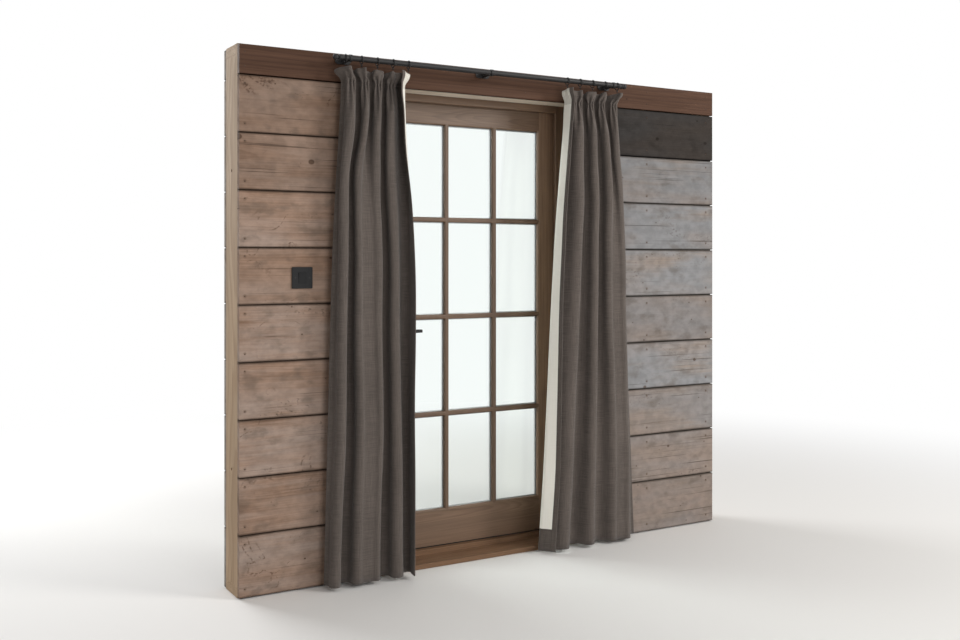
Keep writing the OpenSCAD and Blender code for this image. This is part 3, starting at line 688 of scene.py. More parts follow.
def ease_piece(node, name, width=0.0012, shortest=0.02):
    """A copy of a CAD piece with its loose triangles merged into flat faces and its long arrises
    rounded, as a joiner does with fine paper."""
    deselect()
    piece = bpy.data.objects.new(name, nodes[node].data.copy())
    bpy.context.scene.collection.objects.link(piece)
    bpy.context.view_layer.objects.active = piece
    piece.select_set(True)
    bpy.context.tool_settings.mesh_select_mode = (True, False, False)
    bpy.ops.object.mode_set(mode="EDIT")
    bpy.ops.mesh.select_all(action="SELECT")
    bpy.ops.mesh.remove_doubles(threshold=DOUBLES)
    bpy.ops.mesh.dissolve_limited(angle_limit=FLAT_WITHIN)
    bpy.ops.object.mode_set(mode="OBJECT")
    mesh = piece.data
    beside = {}
    for face in mesh.polygons:
        for key in face.edge_keys:
            beside.setdefault(key, []).append(face.normal)
    sharp = {key for key, normals in beside.items()
             if len(normals) == 2 and normals[0].angle(normals[1]) > SHARP_FROM}
    place = {v.co.copy().freeze(): v.index for v in mesh.vertices}
    choose_edges(piece, lambda p, q: (p - q).length > shortest and
                 tuple(sorted((place[p.copy().freeze()], place[q.copy().freeze()]))) in sharp)
    in_edit(bpy.ops.mesh.bevel, offset=width, segments=2, affect="EDGES", profile=0.5, clamp_overlap=False)
    smooth_arrises(piece, 32)
    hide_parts(node)
    return piece


reveal_finish = timber("dark_reveal_board", (0.15, 0.088, 0.055), (0.075, 0.042, 0.026),
                       knot=(0.03, 0.016, 0.01), knots=0.15, rough=0.55, bump=0.35, gloss=0.3)[0]
for side, seed in (("left", 4.1), ("right", 6.3)):
    piece = ease_piece("reveal_" + side, "reveal_board_" + side)
    low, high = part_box("reveal_" + side)
    mark_grain(piece, (0, 0, 1), (0, 1, 0), (low + high) / 2, seed)
    give(piece, reveal_finish)
    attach(piece, "wall")
# The soffit board's pale cream colour is painted daylight: it stands in for the light from the glass on its
# underside.
soffit = ease_piece("reveal_head", "soffit_board")
low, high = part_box("reveal_head")
mark_grain(soffit, (1, 0, 0), (0, 1, 0), (low + high) / 2, 8.8)
give(soffit, timber("soffit_board_painted_daylight", (0.80, 0.71, 0.60), (0.68, 0.56, 0.43), knots=0.1,
                    rough=0.6, bump=0.3)[0])
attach(soffit, "wall")

# Threshold. One length of oiled hardwood under the door, with an inner step, a seat and a sloped
# nose that sheds water.

threshold = ease_piece("threshold", "door_sill", width=0.0018)
low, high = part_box("threshold")
mark_grain(threshold, (1, 0, 0), (0, 1, 0), (low + high) / 2, 2.2)
give(threshold, timber("oiled_sill", (0.20, 0.115, 0.066), (0.10, 0.055, 0.030), knots=0.05, ring=0.004,
                       rough=0.5, bump=0.3)[0])
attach(threshold, "wall")

# Door frame. Two jambs and a head of brown stained hardwood, rebated for the leaf, chamfered on
# the room side and screwed through to the studs.

joinery = timber("brown_joinery", (0.170, 0.106, 0.067), (0.098, 0.058, 0.036), knot=(0.04, 0.02, 0.012),
                 knots=0.04, ring=0.0038, rough=0.46, bump=0.3, gloss=0.35)[0]
UP, LEVEL = (0, 0, 1), (1, 0, 0)


def join_timber(node, name, along, seed, body, width=0.0012, tone=1.0):
    """One member of the frame or leaf, with its grain along its length."""
    piece = ease_piece(node, name, width)
    low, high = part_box(node)
    across = LEVEL if along == UP else UP
    mark_grain(piece, along, across, (low + high) / 2, seed, tone)
    give(piece, joinery)
    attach(piece, body)
    return piece


join_timber("frame_jamb_lock", "jamb_lock", UP, 12.4, "wall", tone=0.95)
join_timber("frame_jamb_hinge", "jamb_hinge", UP, 14.9, "wall", tone=1.0)
join_timber("frame_head", "door_frame_head", LEVEL, 16.2, "wall", tone=0.92)

# Door leaf. Two stiles, a top and a bottom rail and a net of slim glazing bars, moulded to the
# room and rebated outside, tenoned and glued. Beads hold the glass, and a weather bar throws rain
# off the foot.

join_timber("leaf_stile_lock", "door_stile_lock", UP, 21.3, "door_leaf")
# The hinge stile is toned paler than the rest of the leaf as painted light: it stands in for the glare from
# the glass on it.
join_timber("leaf_stile_hinge", "door_stile_hinge", UP, 23.8, "door_leaf", tone=1.35)
join_timber("leaf_top_rail", "door_top_rail", LEVEL, 25.1, "door_leaf", tone=0.8)
join_timber("leaf_bottom_rail", "door_bottom_rail", LEVEL, 27.7, "door_leaf", tone=0.96)
join_timber("weather_bar", "door_weather_bar", LEVEL, 29.2, "door_leaf", tone=0.92)
bars = join_timber("glazing_bars", "door_glazing_bars", UP, 33.0, "door_leaf", width=0.0006, tone=0.8)
beads = join_timber("glazing_beads", "door_glazing_beads", UP, 35.0, "door_leaf", width=0.0006, tone=0.8)
glass_low, glass_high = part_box("glass_panes")
BAR, GLASS_EDGE = 0.022, 0.006
PANES_WIDE, PANES_HIGH = 3, 4
PANE_RISE = (glass_high.z - glass_low.z - 2 * GLASS_EDGE + BAR) / PANES_HIGH
bar_levels = [glass_low.z + GLASS_EDGE - BAR / 2 + k * PANE_RISE for k in range(PANES_HIGH + 1)]


def on_cross_bar(centre):
    """Whether a face belongs to a level bar or bead, whose grain runs level too."""
    return any(abs(centre.z - z) < BAR / 2 + 0.008 for z in bar_levels)


for piece, seed in ((bars, 37.0), (beads, 39.0)):
    mark_grain(piece, LEVEL, UP, (0, 0.07, 1.0), seed, 0.8, faces=on_cross_bar)

seal_rubber, tree, shader = new_material("black_seal_rubber")
dusty = cloudy(tree, object_place(tree), 320.0)
dusty = blend_colour(tree, dusty, (0.012, 0.012, 0.012, 1), (0.03, 0.029, 0.028, 1))
fill(tree, shader, {"Base Color": dusty, "Roughness": 0.8})
SEAL_HALF, SEAL_BACK, SEAL_FRONT = 0.462, 0.060, 0.072
SEAL_HEIGHT, SEAL_IN_RAIL, SEAL_LIP = 0.0066, 0.0004, 0.002
seal_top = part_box("leaf_bottom_rail")[0].z + SEAL_IN_RAIL
seal = add_block("foot_seal", (-SEAL_HALF, SEAL_BACK, seal_top - SEAL_HEIGHT),
                 (SEAL_HALF, SEAL_FRONT, seal_top))
choose_faces(seal, lambda c, n: n.z < -0.5)
in_edit(bpy.ops.mesh.inset, thickness=SEAL_LIP, depth=0)
push_in((0, 0, SEAL_LIP))
give(seal, seal_rubber)
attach(seal, "door_leaf")

# Glazing units. Two sheets of clear glass in each pane with a dull metal spacer between them at
# the edge, bedded behind the beads.


def make_glass():
    """Clear glass that lets the lamps' light through."""
    material, tree, shader = new_material("clear_glass")
    fill(tree, shader, {"Base Color": (0.96, 0.985, 0.975, 1), "Roughness": 0.0, "IOR": 1.45,
                        "Transmission Weight": 1.0})
    open_way = add_node(tree, "ShaderNodeBsdfTransparent", {"Color": (0.93, 0.95, 0.94, 1)})
    shadow = add_node(tree, "ShaderNodeLightPath").outputs["Is Shadow Ray"]
    mixed = add_node(tree, "ShaderNodeMixShader", {0: shadow, 1: shader.outputs[0], 2: open_way.outputs[0]})
    tree.links.new(mixed.outputs[0], tree.nodes["Material Output"].inputs["Surface"])
    return material


SHEET, SHEET_EASE = 0.004, 0.0004
SPACER_WIDTH, SPACER_IN = 0.009, Vector((0.001, 0.0001, 0.001))
PANE_RUN = (glass_high.x - glass_low.x - 2 * GLASS_EDGE + BAR) / PANES_WIDE
pane_size = Vector((PANE_RUN - BAR + 2 * GLASS_EDGE, SHEET, PANE_RISE - BAR + 2 * GLASS_EDGE))
gap = glass_high.y - glass_low.y - 2 * SHEET
sheets, spacers = [], []
for place in [(column, row) for column in range(PANES_WIDE) for row in range(PANES_HIGH)]:
    near = Vector((glass_low.x + place[0] * PANE_RUN, glass_low.y, glass_low.z + place[1] * PANE_RISE))
    for corner in (near, near + Vector((0, SHEET + gap, 0))):
        sheet = add_block("sheet", corner, corner + pane_size)
        choose_edges(sheet, lambda p, q: True)
        in_edit(bpy.ops.mesh.bevel, offset=SHEET_EASE, segments=1, affect="EDGES")
        sheets.append(sheet)
    inner = near + Vector((0, SHEET, 0))
    ring = add_block("spacer", inner + SPACER_IN, inner + Vector((pane_size.x, gap, pane_size.z)) - SPACER_IN)
    choose_faces(ring, lambda c, n: abs(n.y) > 0.5)
    in_edit(bpy.ops.mesh.inset, thickness=SPACER_WIDTH, depth=0)
    centre = near + pane_size / 2
    choose_faces(ring, lambda c, n: abs(n.y) > 0.5 and abs(c.x - centre.x) < 0.01
                 and abs(c.z - centre.z) < 0.01)
    in_edit(bpy.ops.mesh.bridge_edge_loops)
    spacers.append(ring)
glass = join_pieces("glazing_units", sheets)
give(glass, make_glass())
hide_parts("glass_panes")
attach(glass, "door_leaf")
spacer = join_pieces("glazing_spacers", spacers)
spacer_metal, tree, shader = new_material("dull_spacer_metal")
uneven = ramp(tree, cloudy(tree, object_place(tree), 60.0), 0.3, 0.7, 0.34, 0.48)
fill(tree, shader, {"Base Color": (0.42, 0.43, 0.44, 1), "Metallic": 0.8, "Roughness": uneven})
give(spacer, spacer_metal)
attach(spacer, "door_leaf")

# Hinges and lock plates. Three satin steel butt hinges let into leaf and jamb, with ball tips on
# their pins, and a forend and strike plate, all held by countersunk screws.


def satin_metal(name, colour, rough, metallic, grain=140.0, bump=0.08):
    """Brushed or coated metal with faint uneven gloss."""
    material, tree, shader = new_material(name)
    place = object_place(tree)
    fine, haze = cloudy(tree, place, grain, 3.0), cloudy(tree, place, 14.0, 3.0)
    uneven = ramp(tree, scaled(tree, fine, 0.4, times(tree, haze, 0.6)), 0.3, 0.7, rough - 0.09, rough + 0.09)
    light, dark = [c * 1.12 for c in colour], [c * 0.86 for c in colour]
    coat = blend_colour(tree, ramp(tree, haze, 0.35, 0.65), (*dark, 1), (*light, 1))
    fill(tree, shader, {"Base Color": coat, "Metallic": metallic, "Roughness": uneven,
                        "Normal": bumped(tree, bump, 0.0004, fine)})
    return material


hinge_steel = satin_metal("satin_steel", (0.46, 0.45, 0.43), 0.42, 1.0)
for node, name, body in (("hinge_frame_halves", "hinges_on_frame", "wall"),
                         ("strike_plate", "lock_strike", "wall"),
                         ("hinge_leaf_halves", "hinges_on_leaf", "door_leaf"),
                         ("lock_forend", "lock_face_plate", "door_leaf")):
    piece = ease_piece(node, name, width=0.0003, shortest=0.004)
    give(piece, hinge_steel)
    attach(piece, body)
HEAD_HEIGHT, HEAD_EASE, HEAD_SUNK = 0.0012, 0.0004, 0.0002
SLOT_ENDS, SLOT_SHAPE, SLOT_DEPTH = 0.0005, (0.94, 0.2, 1), 0.0006


def turn_screws(name, spots, finish, body, head=0.0038):
    """Countersunk slotted screw heads. Each spot is a place and the way that the head faces."""
    heads = []
    for place, facing in spots:
        deselect()
        bpy.ops.mesh.primitive_cylinder_add(vertices=16, radius=head, depth=HEAD_HEIGHT, location=(0, 0, 0))
        screw = bpy.context.active_object
        choose_edges(screw, lambda p, q: p.z > 0 and q.z > 0)
        in_edit(bpy.ops.mesh.bevel, offset=HEAD_EASE, segments=2, affect="EDGES")
        choose_faces(screw, lambda c, n: n.z > 0.9)
        in_edit(bpy.ops.mesh.inset, thickness=SLOT_ENDS, depth=0)
        in_edit(bpy.ops.transform.resize, value=SLOT_SHAPE)
        push_in((0, 0, -SLOT_DEPTH))
        screw.rotation_euler = Vector(facing).to_track_quat("Z", "Y").to_euler()
        screw.location = Vector(place) - Vector(facing) * HEAD_SUNK
        heads.append(settle())
    screws = join_pieces(name, heads)
    smooth_arrises(screws, 35)
    give(screws, finish)
    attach(screws, body)


HINGE_LEVELS = (0.25, 1.0525, 1.855)
HINGE_SCREWS = ((-0.038, -0.004), (-0.013, 0.009), (0.013, -0.004), (0.038, 0.009))
PLATE_MIDDLE = OUT - 0.0265
PLATE_END = 0.010
forend_low, forend_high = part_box("lock_forend")
strike_low, strike_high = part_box("strike_plate")
lock_y = (forend_low.y + forend_high.y) / 2
leaf_edge, jamb_face = -forend_low.x, -strike_high.x
leaf_screws, frame_screws = [], []
for z, (dz, dy) in [(z, screw) for z in HINGE_LEVELS for screw in HINGE_SCREWS]:
    leaf_screws.append(((leaf_edge, PLATE_MIDDLE + dy, z + dz), (1, 0, 0)))
    frame_screws.append(((jamb_face, PLATE_MIDDLE + dy, z + dz), (-1, 0, 0)))
for z in (forend_low.z + PLATE_END, forend_high.z - PLATE_END):
    leaf_screws.append(((forend_low.x, lock_y, z), (-1, 0, 0)))
for z in (strike_low.z + PLATE_END, strike_high.z - PLATE_END):
    frame_screws.append(((strike_high.x, lock_y, z), (1, 0, 0)))
turn_screws("leaf_plate_screws", leaf_screws, hinge_steel, "door_leaf")
turn_screws("frame_plate_screws", frame_screws, hinge_steel, "wall")

# Lever handles. Black powder coated plates screwed to both faces of the lock stile, each with a
# keyhole, and two levers on one spindle. The latch tongue is drawn in flush with the face plate.

LEVER_LEVEL = 1.024
HANDLE_SCREW_IN = 0.011
TONGUE_HALF = Vector((0, 0.006, 0.012))
TONGUE_PROUD, TONGUE_IN, TONGUE_EASE = 0.0006, 0.004, 0.0004
black_iron = satin_metal("black_powder_coat", (0.020, 0.019, 0.019), 0.5, 0.2, grain=420.0, bump=0.2)
plate_screws = []
for side, facing in (("inside", -1), ("outside", 1)):
    low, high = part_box("handle_plate_" + side)
    face = low.y if facing < 0 else high.y
    for z in (low.z + HANDLE_SCREW_IN, high.z - HANDLE_SCREW_IN):
        plate_screws.append((((low.x + high.x) / 2, face, z), (0, facing, 0)))
    for node, body in (("handle_plate_" + side, "door_leaf"), ("lever_" + side, "lever")):
        piece = ease_piece(node, node + "_iron", width=0.0007, shortest=0.004)
        give(piece, black_iron)
        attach(piece, body)
turn_screws("handle_plate_screws", plate_screws, black_iron, "door_leaf", head=0.0034)
tongue_root = Vector((forend_low.x, lock_y, LEVER_LEVEL))
tongue = add_block("latch_tongue", tongue_root - TONGUE_HALF - Vector((TONGUE_PROUD, 0, 0)),
                   tongue_root + TONGUE_HALF + Vector((TONGUE_IN, 0, 0)))
choose_edges(tongue, lambda p, q: abs(p.z - q.z) > 0.01 and p.x < forend_low.x and p.y > lock_y)
in_edit(bpy.ops.mesh.bevel, offset=TONGUE_EASE, segments=2, affect="EDGES")
give(tongue, hinge_steel)
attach(tongue, "door_leaf")

# Pole. A black steel tube with ball finials, held off the head board by three flat-armed brackets,
# and ten rings that slide on it, each with an eye for a hook.

for node, name, width in (("curtain_pole", "pole_tube", 0.0004),
                          ("pole_brackets", "pole_bracket_iron", 0.0008),
                          ("pole_finials", "pole_end_balls", 0.0004),
                          ("curtain_rings", "pole_rings", 0.0003)):
    piece = ease_piece(node, name, width=width, shortest=0.003)
    give(piece, black_iron)
    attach(piece, "wall")
BRACKET_HALF, BRACKET_THICK, BRACKET_SCREW = 0.035, 0.004, 0.022
bracket_low, bracket_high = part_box("pole_brackets")
pole_low, pole_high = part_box("curtain_pole")
pole = (pole_low + pole_high) / 2
bracket_x = (bracket_low.x + BRACKET_HALF, pole.x, bracket_high.x - BRACKET_HALF)
bracket_screws = [((x + side * BRACKET_SCREW, FRONT - BRACKET_THICK, pole.z), (0, -1, 0))
                  for side in (-1, 1) for x in bracket_x]
turn_screws("bracket_screws", bracket_screws, black_iron, "wall", head=0.0036)

# Curtains. A pair of heavy taupe linen curtains with a cream cotton lining, pinch-pleated to hooks
# in the rings' eyes. Each is one flat drop of cloth, with side hems, a deep bottom hem and a
# heading tape on its back.

FLAT_WIDTH, FLAT_LENGTH = 0.82, 2.12
HEADING = 0.066
TAPE, TAPE_EDGE, CORD_SPACING = 0.078, 0.001, 0.011
SIDE_HEM, FOOT_HEM, STITCH = 0.024, 0.095, 0.007
PLEATS = (0.190, 0.368, 0.546, 0.724)
PLEAT_WIDTH = 0.105
LEAD_FLAP = 0.084
HALF_DEPTH = 0.041
THICKNESS, HEM_THICKER = 0.0034, 0.6
RINGS = (0.0145, 0.0865, 0.1585, 0.2305, 0.3025)
EYE_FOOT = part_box("curtain_rings")[0].z + 0.001
HOOK_RADIUS, HOOK_WIRE, TAPE_DROP = 0.0032, 0.0009, 0.05
COLUMNS, ROWS = 300, 104
STEP = FLAT_WIDTH / COLUMNS
ACROSS = np.linspace(0, FLAT_WIDTH, COLUMNS + 1)
RUFFLE = 0.066
SMOOTHINGS, HALVINGS = 14, 26


def ease_in(value, low, high):
    """A smooth step from 0 at low to 1 at high."""
    share = np.clip((value - low) / (high - low), 0, 1)
    return share * share * (3 - 2 * share)


def noise_over_cloth(drops, x_scale, z_scale, seed):
    """Slow unevenness over the flat cloth: one row for each height, one value for each column."""
    return np.array([[noise.noise(Vector((s * x_scale, z * z_scale, seed))) for s in ACROSS] for z in drops])


def share_out_folds(opened, drops, hem_folds, seed):
    """Counts the folds along the cloth, even at the heading and as hem_folds says at the hem."""
    turns = (0.14, 0.75, 1.75, 2.75, 3.75, 4.2)
    at_heading = np.interp(ACROSS, (LEAD_FLAP, *PLEATS, FLAT_WIDTH), turns)
    at_hem = np.interp(ACROSS, (LEAD_FLAP, *hem_folds, FLAT_WIDTH), turns)
    wave = at_heading * (1 - opened) + at_hem * opened
    for k in range(SMOOTHINGS):
        padded = np.pad(wave, ((0, 0), (1, 1)), mode="reflect", reflect_type="odd")
        wave = 0.25 * padded[:, :-2] + 0.5 * padded[:, 1:-1] + 0.25 * padded[:, 2:]
    return wave + 0.10 * noise_over_cloth(drops, 3.1, 0.8, seed) * opened


def pinch_pleats(below):
    """Three small fingers pinched together in each pleat, and how much of the wide fold they leave."""
    opening = np.exp(-((below - HEADING) / 0.065) ** 2)
    pinched = np.where(below < HEADING, ease_in(below, 0.012, HEADING), opening)
    fingers, inside = 0.0, 0.0
    for place in PLEATS:
        within = ease_in(PLEAT_WIDTH / 2 + 0.004 - np.abs(ACROSS - place), 0, 0.012)
        fingers = fingers + within * np.sin(6 * math.pi * (ACROSS - place) / PLEAT_WIDTH)
        inside = inside + within
    return fingers * 1.7 * pinched ** 0.5, 1 - inside * (1 - np.sqrt(1 - pinched ** 2))


def lay_folds(width, drops, rings, hem_folds, lead_angle, merged, seed):
    """Plan of the cloth at each height, from the lead edge on. The cloth's direction turns along
    its width, to and fro once for each pleat, just so far that the folds fill the width that the
    curtain hangs in. A flap at the lead edge runs straight back to the wall, the pleats are pinched
    under a loose ruffle, and two folds flow into one lower down."""
    below = drops[:, None]
    opened = ease_in(below, HEADING, 0.6)
    wave = share_out_folds(opened, drops, hem_folds, seed)
    rounder = -0.02 * np.sin(2 * math.pi * (wave - 0.75))
    main = np.cos(2 * math.pi * (wave - rounder))
    between, start = merged
    main = main * (1 - ease_in(below, start, start + 0.6) * np.exp(-((wave - between) / 0.42) ** 4))
    fingers, kept = pinch_pleats(below)
    creases, waves = noise_over_cloth(drops, 26, 3.0, seed + 5), noise_over_cloth(drops, 9, 1.1, seed + 7)
    small = 0.16 * creases * (1 - 0.6 * ease_in(below, 0.2, 1.0)) + 0.25 * waves * opened
    flap = 1 - ease_in(ACROSS, 0.8 * LEAD_FLAP, 1.35 * LEAD_FLAP)
    loose = 1 - ease_in(below, 0.0, 0.9 * HEADING)
    ruffle = np.array([math.sin(2 * math.pi * (s / RUFFLE + 0.6 * noise.noise(Vector((s * 9, seed, 3.0)))))
                       for s in ACROSS])
    ruffle = 1.1 * loose * ruffle * (1 - 0.75 * flap)
    lead = lead_angle(below)
    beside = 1 - ease_in(wave, 0.60, 0.95)
    least, most = np.zeros_like(below), 2.4 + 1.6 * loose
    for k in range(HALVINGS):
        amount = (least + most) / 2
        first = np.minimum(amount, math.pi - lead - 0.10)
        swing = (amount * (1 - beside) + first * beside) * main * kept * (1 - 0.5 * loose)
        free = swing + fingers + ruffle
        free = free * (1 - loose) + 1.9 * np.tanh(free / 1.9) * loose
        heading = free * (1 - flap) + (lead + ruffle) * flap + small
        x = np.cumsum(np.cos(heading), axis=1) * STEP
        too_wide = np.ptp(x, axis=1, keepdims=True) > width[:, None]
        least, most = np.where(too_wide, amount, least), np.where(too_wide, most, amount)
    y = np.cumsum(np.sin(heading), axis=1) * STEP
    x = x - x.min(axis=1, keepdims=True)
    middle = x - x.mean(axis=1, keepdims=True)
    slope = (middle * y).sum(axis=1, keepdims=True) / (middle ** 2).sum(axis=1, keepdims=True)
    y = y - slope * middle
    y = y - (y.max(axis=1, keepdims=True) + y.min(axis=1, keepdims=True)) / 2
    y = y * np.minimum(1.0, HALF_DEPTH / y.max(axis=1, keepdims=True))
    y = y - loose * (HALF_DEPTH - y.max(axis=1, keepdims=True)).clip(0, 0.008)
    draw_to_rings(x, drops, width, rings)
    return x, y


def draw_to_rings(x, drops, width, rings):
    """Draws each pleat sideways to its ring, and lets it hang free lower down."""
    held = 1 - ease_in(drops, 0.12, 0.45)
    columns = np.rint(np.array(PLEATS) / STEP).astype(int)
    for row in range(len(drops)):
        ends = (0, *x[row, columns], x[row].max())
        goals = [ring * width[row] / width[0] for ring in rings]
        pulled = np.interp(x[row], ends, (0, *goals, width[row]))
        x[row] += held[row] * (pulled - x[row])


def bend_hook(eye, foot):
    """A wire hook that closes round the ring's eye and runs down behind the heading tape."""
    deselect()
    bpy.ops.mesh.primitive_torus_add(major_radius=HOOK_RADIUS, minor_radius=HOOK_WIRE, major_segments=14,
                                     minor_segments=6, location=eye, rotation=(0, math.pi / 2, 0))
    loop = settle()
    start = eye - Vector((0, 0, 0.003))
    leg = foot - start
    deselect()
    bpy.ops.mesh.primitive_cylinder_add(vertices=8, radius=HOOK_WIRE, depth=leg.length,
                                        location=(start + foot) / 2,
                                        rotation=leg.to_track_quat("Z", "Y").to_euler())
    hook = join_pieces("hook", [loop, settle()])
    bpy.ops.object.shade_smooth_by_angle(angle=math.radians(50))
    return hook


def hang_curtain(name, node, lead_right, lead_spread, outer_spread, hem_folds, lead_angle, merged, seed):
    """One curtain: the flat cloth is moved, row by row, to where its pleats and folds carry it."""
    low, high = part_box(node)
    top, bottom = high.z - 0.0012, low.z + 0.0015
    deselect()
    bpy.ops.mesh.primitive_grid_add(x_subdivisions=COLUMNS, y_subdivisions=ROWS, size=1)
    cloth = bpy.context.active_object
    cloth.name = name
    cut = cloth.data.uv_layers[0]
    cut.name = "cut"
    at = read_all(cloth.data.vertices, "co", 3)
    column = np.rint((at[:, 0] + 0.5) * COLUMNS).astype(int)
    row = np.rint((0.5 - at[:, 1]) * ROWS).astype(int)
    spacing = np.linspace(0, 1, ROWS + 1)
    share = 0.45 * spacing + 0.55 * spacing ** 2.2
    drops = share * (top - bottom)
    heading_width = high.x - low.x - lead_spread - outer_spread
    ruffled = 1 - ease_in(drops, 0, HEADING)
    neck = 0.020 * (1 - ruffled) * np.exp(-((drops - HEADING) / 0.40) ** 2)
    width = heading_width + (lead_spread + outer_spread) * share ** 0.9 - 0.006 - 2 * neck + 0.014 * ruffled
    x, y = lay_folds(width, drops, [r - 0.003 for r in RINGS[1:]], hem_folds, lead_angle, merged, seed)
    edge = (lead_spread * (1 - share ** 0.9) + 0.003 + neck)[:, None]
    if lead_right:
        place_x = high.x - edge - x
        column = COLUMNS - column
    else:
        place_x = low.x + edge + x
    uneven = np.array([0.5 + 0.5 * noise.noise(Vector((s * 15, seed, 8.0))) for s in ACROSS])
    frill = -ruffled[:, None] * (0.013 * (0.5 + 0.5 * y / HALF_DEPTH) + 0.007 * uneven)
    at[:, 0] = place_x[row, column]
    at[:, 1] = pole.y + y[row, column]
    at[:, 2] = (top - drops[:, None] + frill)[row, column]
    cloth.data.vertices.foreach_set("co", at.ravel())
    corner = read_all(cloth.data.loops, "vertex_index", kind=int)
    map_u, map_v = column * STEP, FLAT_LENGTH * (1 - share[row])
    cut.data.foreach_set("uv", np.stack([map_u, map_v], axis=1)[corner].ravel())
    hooks = []
    tape_row = int(np.argmin(np.abs(drops - TAPE_DROP)))
    flap_middle = int(np.argmin(np.abs(y[tape_row, :int(LEAD_FLAP / STEP)])))
    for spot, ring in zip((flap_middle, *(round(pleat / STEP) for pleat in PLEATS)), RINGS):
        ring_x = high.x - lead_spread - ring if lead_right else low.x + lead_spread + ring
        foot = Vector((place_x[tape_row, spot], pole.y + y[tape_row, spot] + 0.003, top - drops[tape_row]))
        hooks.append(bend_hook(Vector((ring_x, pole.y, EYE_FOOT)), foot))
    hooks = join_pieces(name.replace("cloth", "hooks"), hooks)
    give(hooks, black_iron)
    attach(hooks, "wall")
    thick = cloth.vertex_groups.new(name="hems")
    hemmed = (map_u < SIDE_HEM) | (map_u > FLAT_WIDTH - SIDE_HEM) | (map_v < FOOT_HEM)
    thick.add(np.nonzero(hemmed)[0].tolist(), 1.0, "REPLACE")
    deselect()
    cloth.select_set(True)
    bpy.context.view_layer.objects.active = cloth
    give(cloth, linen, lining)
    shell = cloth.modifiers.new("lined", "SOLIDIFY")
    shell.thickness, shell.offset = THICKNESS, 0.0
    shell.vertex_group, shell.thickness_vertex_group = "hems", HEM_THICKER
    shell.material_offset, shell.material_offset_rim = 1, 0
    bpy.ops.object.modifier_apply(modifier="lined")
    turn_in_hems(cloth)
    bpy.ops.object.shade_smooth()
    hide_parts(node)
    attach(cloth, "wall")


def turn_in_hems(cloth):
    """Shows the linen on the back of the hems, where it is turned in round the lining."""
    cut = read_all(cloth.data.uv_layers["cut"].data, "uv", 2)
    for face in cloth.data.polygons:
        if face.material_index == 1:
            u, v = cut[face.loop_start:face.loop_start + face.loop_total].mean(axis=0)
            if u < SIDE_HEM or u > FLAT_WIDTH - SIDE_HEM or v < FOOT_HEM:
                face.material_index = 0


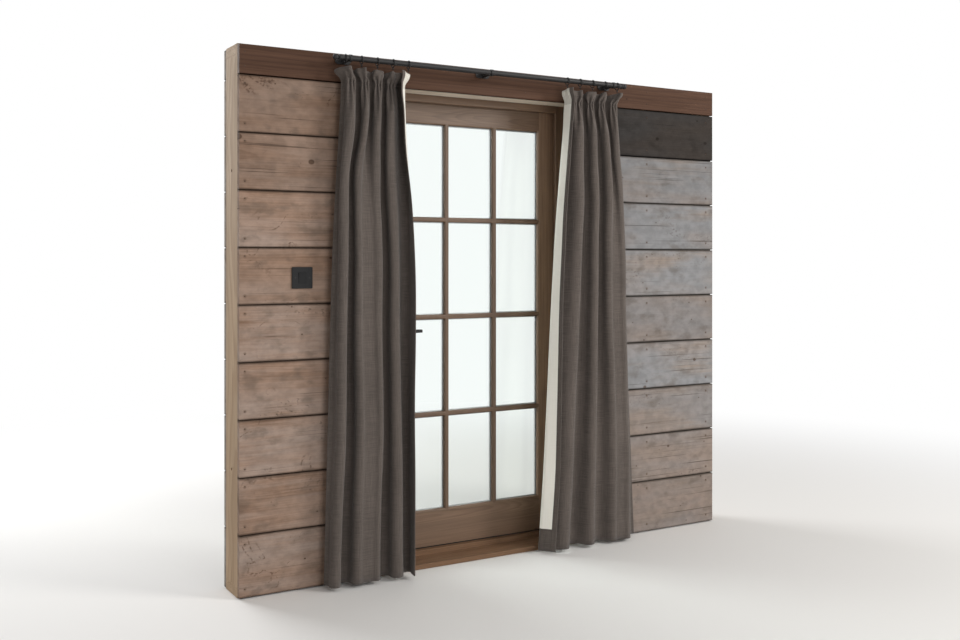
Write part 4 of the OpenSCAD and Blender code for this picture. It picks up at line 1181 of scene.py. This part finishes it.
def make_cloth(name, thread_dark, thread_light, threads, slub, rough, bump, sheen, taped=False):
    """Plain woven cloth with stitched hems. Its threads follow the flat cut's own map, in metres. A
    taped cloth has the heading tape along its top."""
    material, tree, shader = new_material(name)
    part = split(tree, add_node(tree, "ShaderNodeUVMap", uv_map="cut").outputs[0])

    def threaded(x_scale, y_scale, detail=2.0):
        """Noise over the flat cloth, stretched along its threads."""
        spot = joined(tree, times(tree, part["X"], x_scale), times(tree, part["Y"], y_scale))
        return add_node(tree, "ShaderNodeTexNoise", {"Vector": spot, "Scale": 1.0, "Detail": detail},
                        noise_dimensions="2D").outputs[0]

    def rows(axis, spacing):
        """Even rows across the flat cloth, from -1 to 1."""
        return calc(tree, "SINE", times(tree, part[axis], 2 * math.pi / spacing))

    weave = times(tree, rows("X", 1 / threads), rows("Y", 1 / threads))
    slubs = plus(tree, times(tree, threaded(14, 420), 0.5), times(tree, threaded(380, 11), 0.5))
    shade = plus(tree, ramp(tree, slubs, 0.36, 0.64, -slub, slub), times(tree, weave, 0.10))
    shade = plus(tree, shade, ramp(tree, threaded(5, 3, 3.0), 0.3, 0.7, 0.42, 0.58))
    colour = blend_colour(tree, shade, (*thread_dark, 1), (*thread_light, 1))
    height = plus(tree, times(tree, weave, 0.5), slubs)
    if taped:
        tape = ramp(tree, part["Y"], FLAT_LENGTH - TAPE - TAPE_EDGE / 2, FLAT_LENGTH - TAPE + TAPE_EDGE / 2)
        cord = ramp(tree, rows("X", CORD_SPACING), 0.2, 0.9)
        woven = blend_colour(tree, cord, (0.60, 0.57, 0.50, 1), (0.78, 0.76, 0.70, 1))
        colour = blend_colour(tree, tape, colour, woven)
        height = plus(tree, times(tree, tape, cord), height)
    # The stitched hem lines are darkened a little as painted shade in their dimples; the same mask presses
    # the dimples into the bump.
    seam_dimples_and_shade = None
    for axis, line, along in (("X", SIDE_HEM, "Y"), ("X", FLAT_WIDTH - SIDE_HEM, "Y"), ("Y", FOOT_HEM, "X")):
        near = calc(tree, "ABSOLUTE", calc(tree, "SUBTRACT", part[axis], line))
        stitch = ramp(tree, rows(along, STITCH), -0.6, 0.6, 0.35, 1)
        mark = times(tree, ramp(tree, near, 0.0004, 0.0022, 1.0, 0.0), stitch)
        seam_dimples_and_shade = mark if seam_dimples_and_shade is None else calc(tree, "MAXIMUM", seam_dimples_and_shade, mark)
    colour = stain(tree, colour, seam_dimples_and_shade, 0.35, [0.5 * c for c in thread_dark])
    fill(tree, shader, {"Base Color": colour, "Roughness": rough, "Sheen Weight": sheen,
                        "Normal": bumped(tree, bump, 0.0008, scaled(tree, seam_dimples_and_shade, -1.2, height))})
    return material


linen = make_cloth("taupe_linen", (0.059, 0.048, 0.041), (0.130, 0.106, 0.092), 620, 0.26, 0.92, 0.5, 0.15)
lining = make_cloth("cream_lining", (0.76, 0.73, 0.65), (0.88, 0.86, 0.79), 1400, 0.12, 0.75, 0.2, 0.1,
                    taped=True)
hang_curtain("curtain_cloth_left", "curtain_left", lead_right=True, lead_spread=0.008, outer_spread=0.060,
             hem_folds=(0.205, 0.425, 0.510, 0.725), merged=(2.25, 0.12), seed=2.0, lead_angle=lambda below:
             2.30 - 0.18 * ease_in(below, 0.0, HEADING) - 0.42 * ease_in(below, 0.25, 0.9))
hang_curtain("curtain_cloth_right", "curtain_right", lead_right=False, lead_spread=0.130, outer_spread=0.113,
             hem_folds=(0.235, 0.440, 0.630, 0.705), merged=(3.25, 0.30), seed=5.0, lead_angle=lambda below:
             1.70 + 0.52 * ease_in(below, 0.1, 1.9))

# Light switch. A square plate of matt black with a rocker, screwed to a box behind the boards.

switch_black, tree, shader = new_material("matt_black_plate")
speck = cloudy(tree, object_place(tree), 700.0)
fill(tree, shader, {"Base Color": (0.006, 0.006, 0.0065, 1), "Specular IOR Level": 0.2,
                    "Roughness": ramp(tree, speck, 0.3, 0.7, 0.42, 0.55),
                    "Normal": bumped(tree, 0.15, 0.0003, speck)})
switch = ease_piece("light_switch", "switch_plate", width=0.0008, shortest=0.004)
give(switch, switch_black)
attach(switch, "wall")
PLATE_THICK, SWITCH_SCREW_IN = 0.006, 0.0139
low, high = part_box("light_switch")
switch_screws = [((x, FRONT - PLATE_THICK, (low.z + high.z) / 2), (0, -1, 0))
                 for x in (low.x + SWITCH_SCREW_IN, high.x - SWITCH_SCREW_IN)]
turn_screws("switch_screws", switch_screws, black_iron, "wall", head=0.0030)
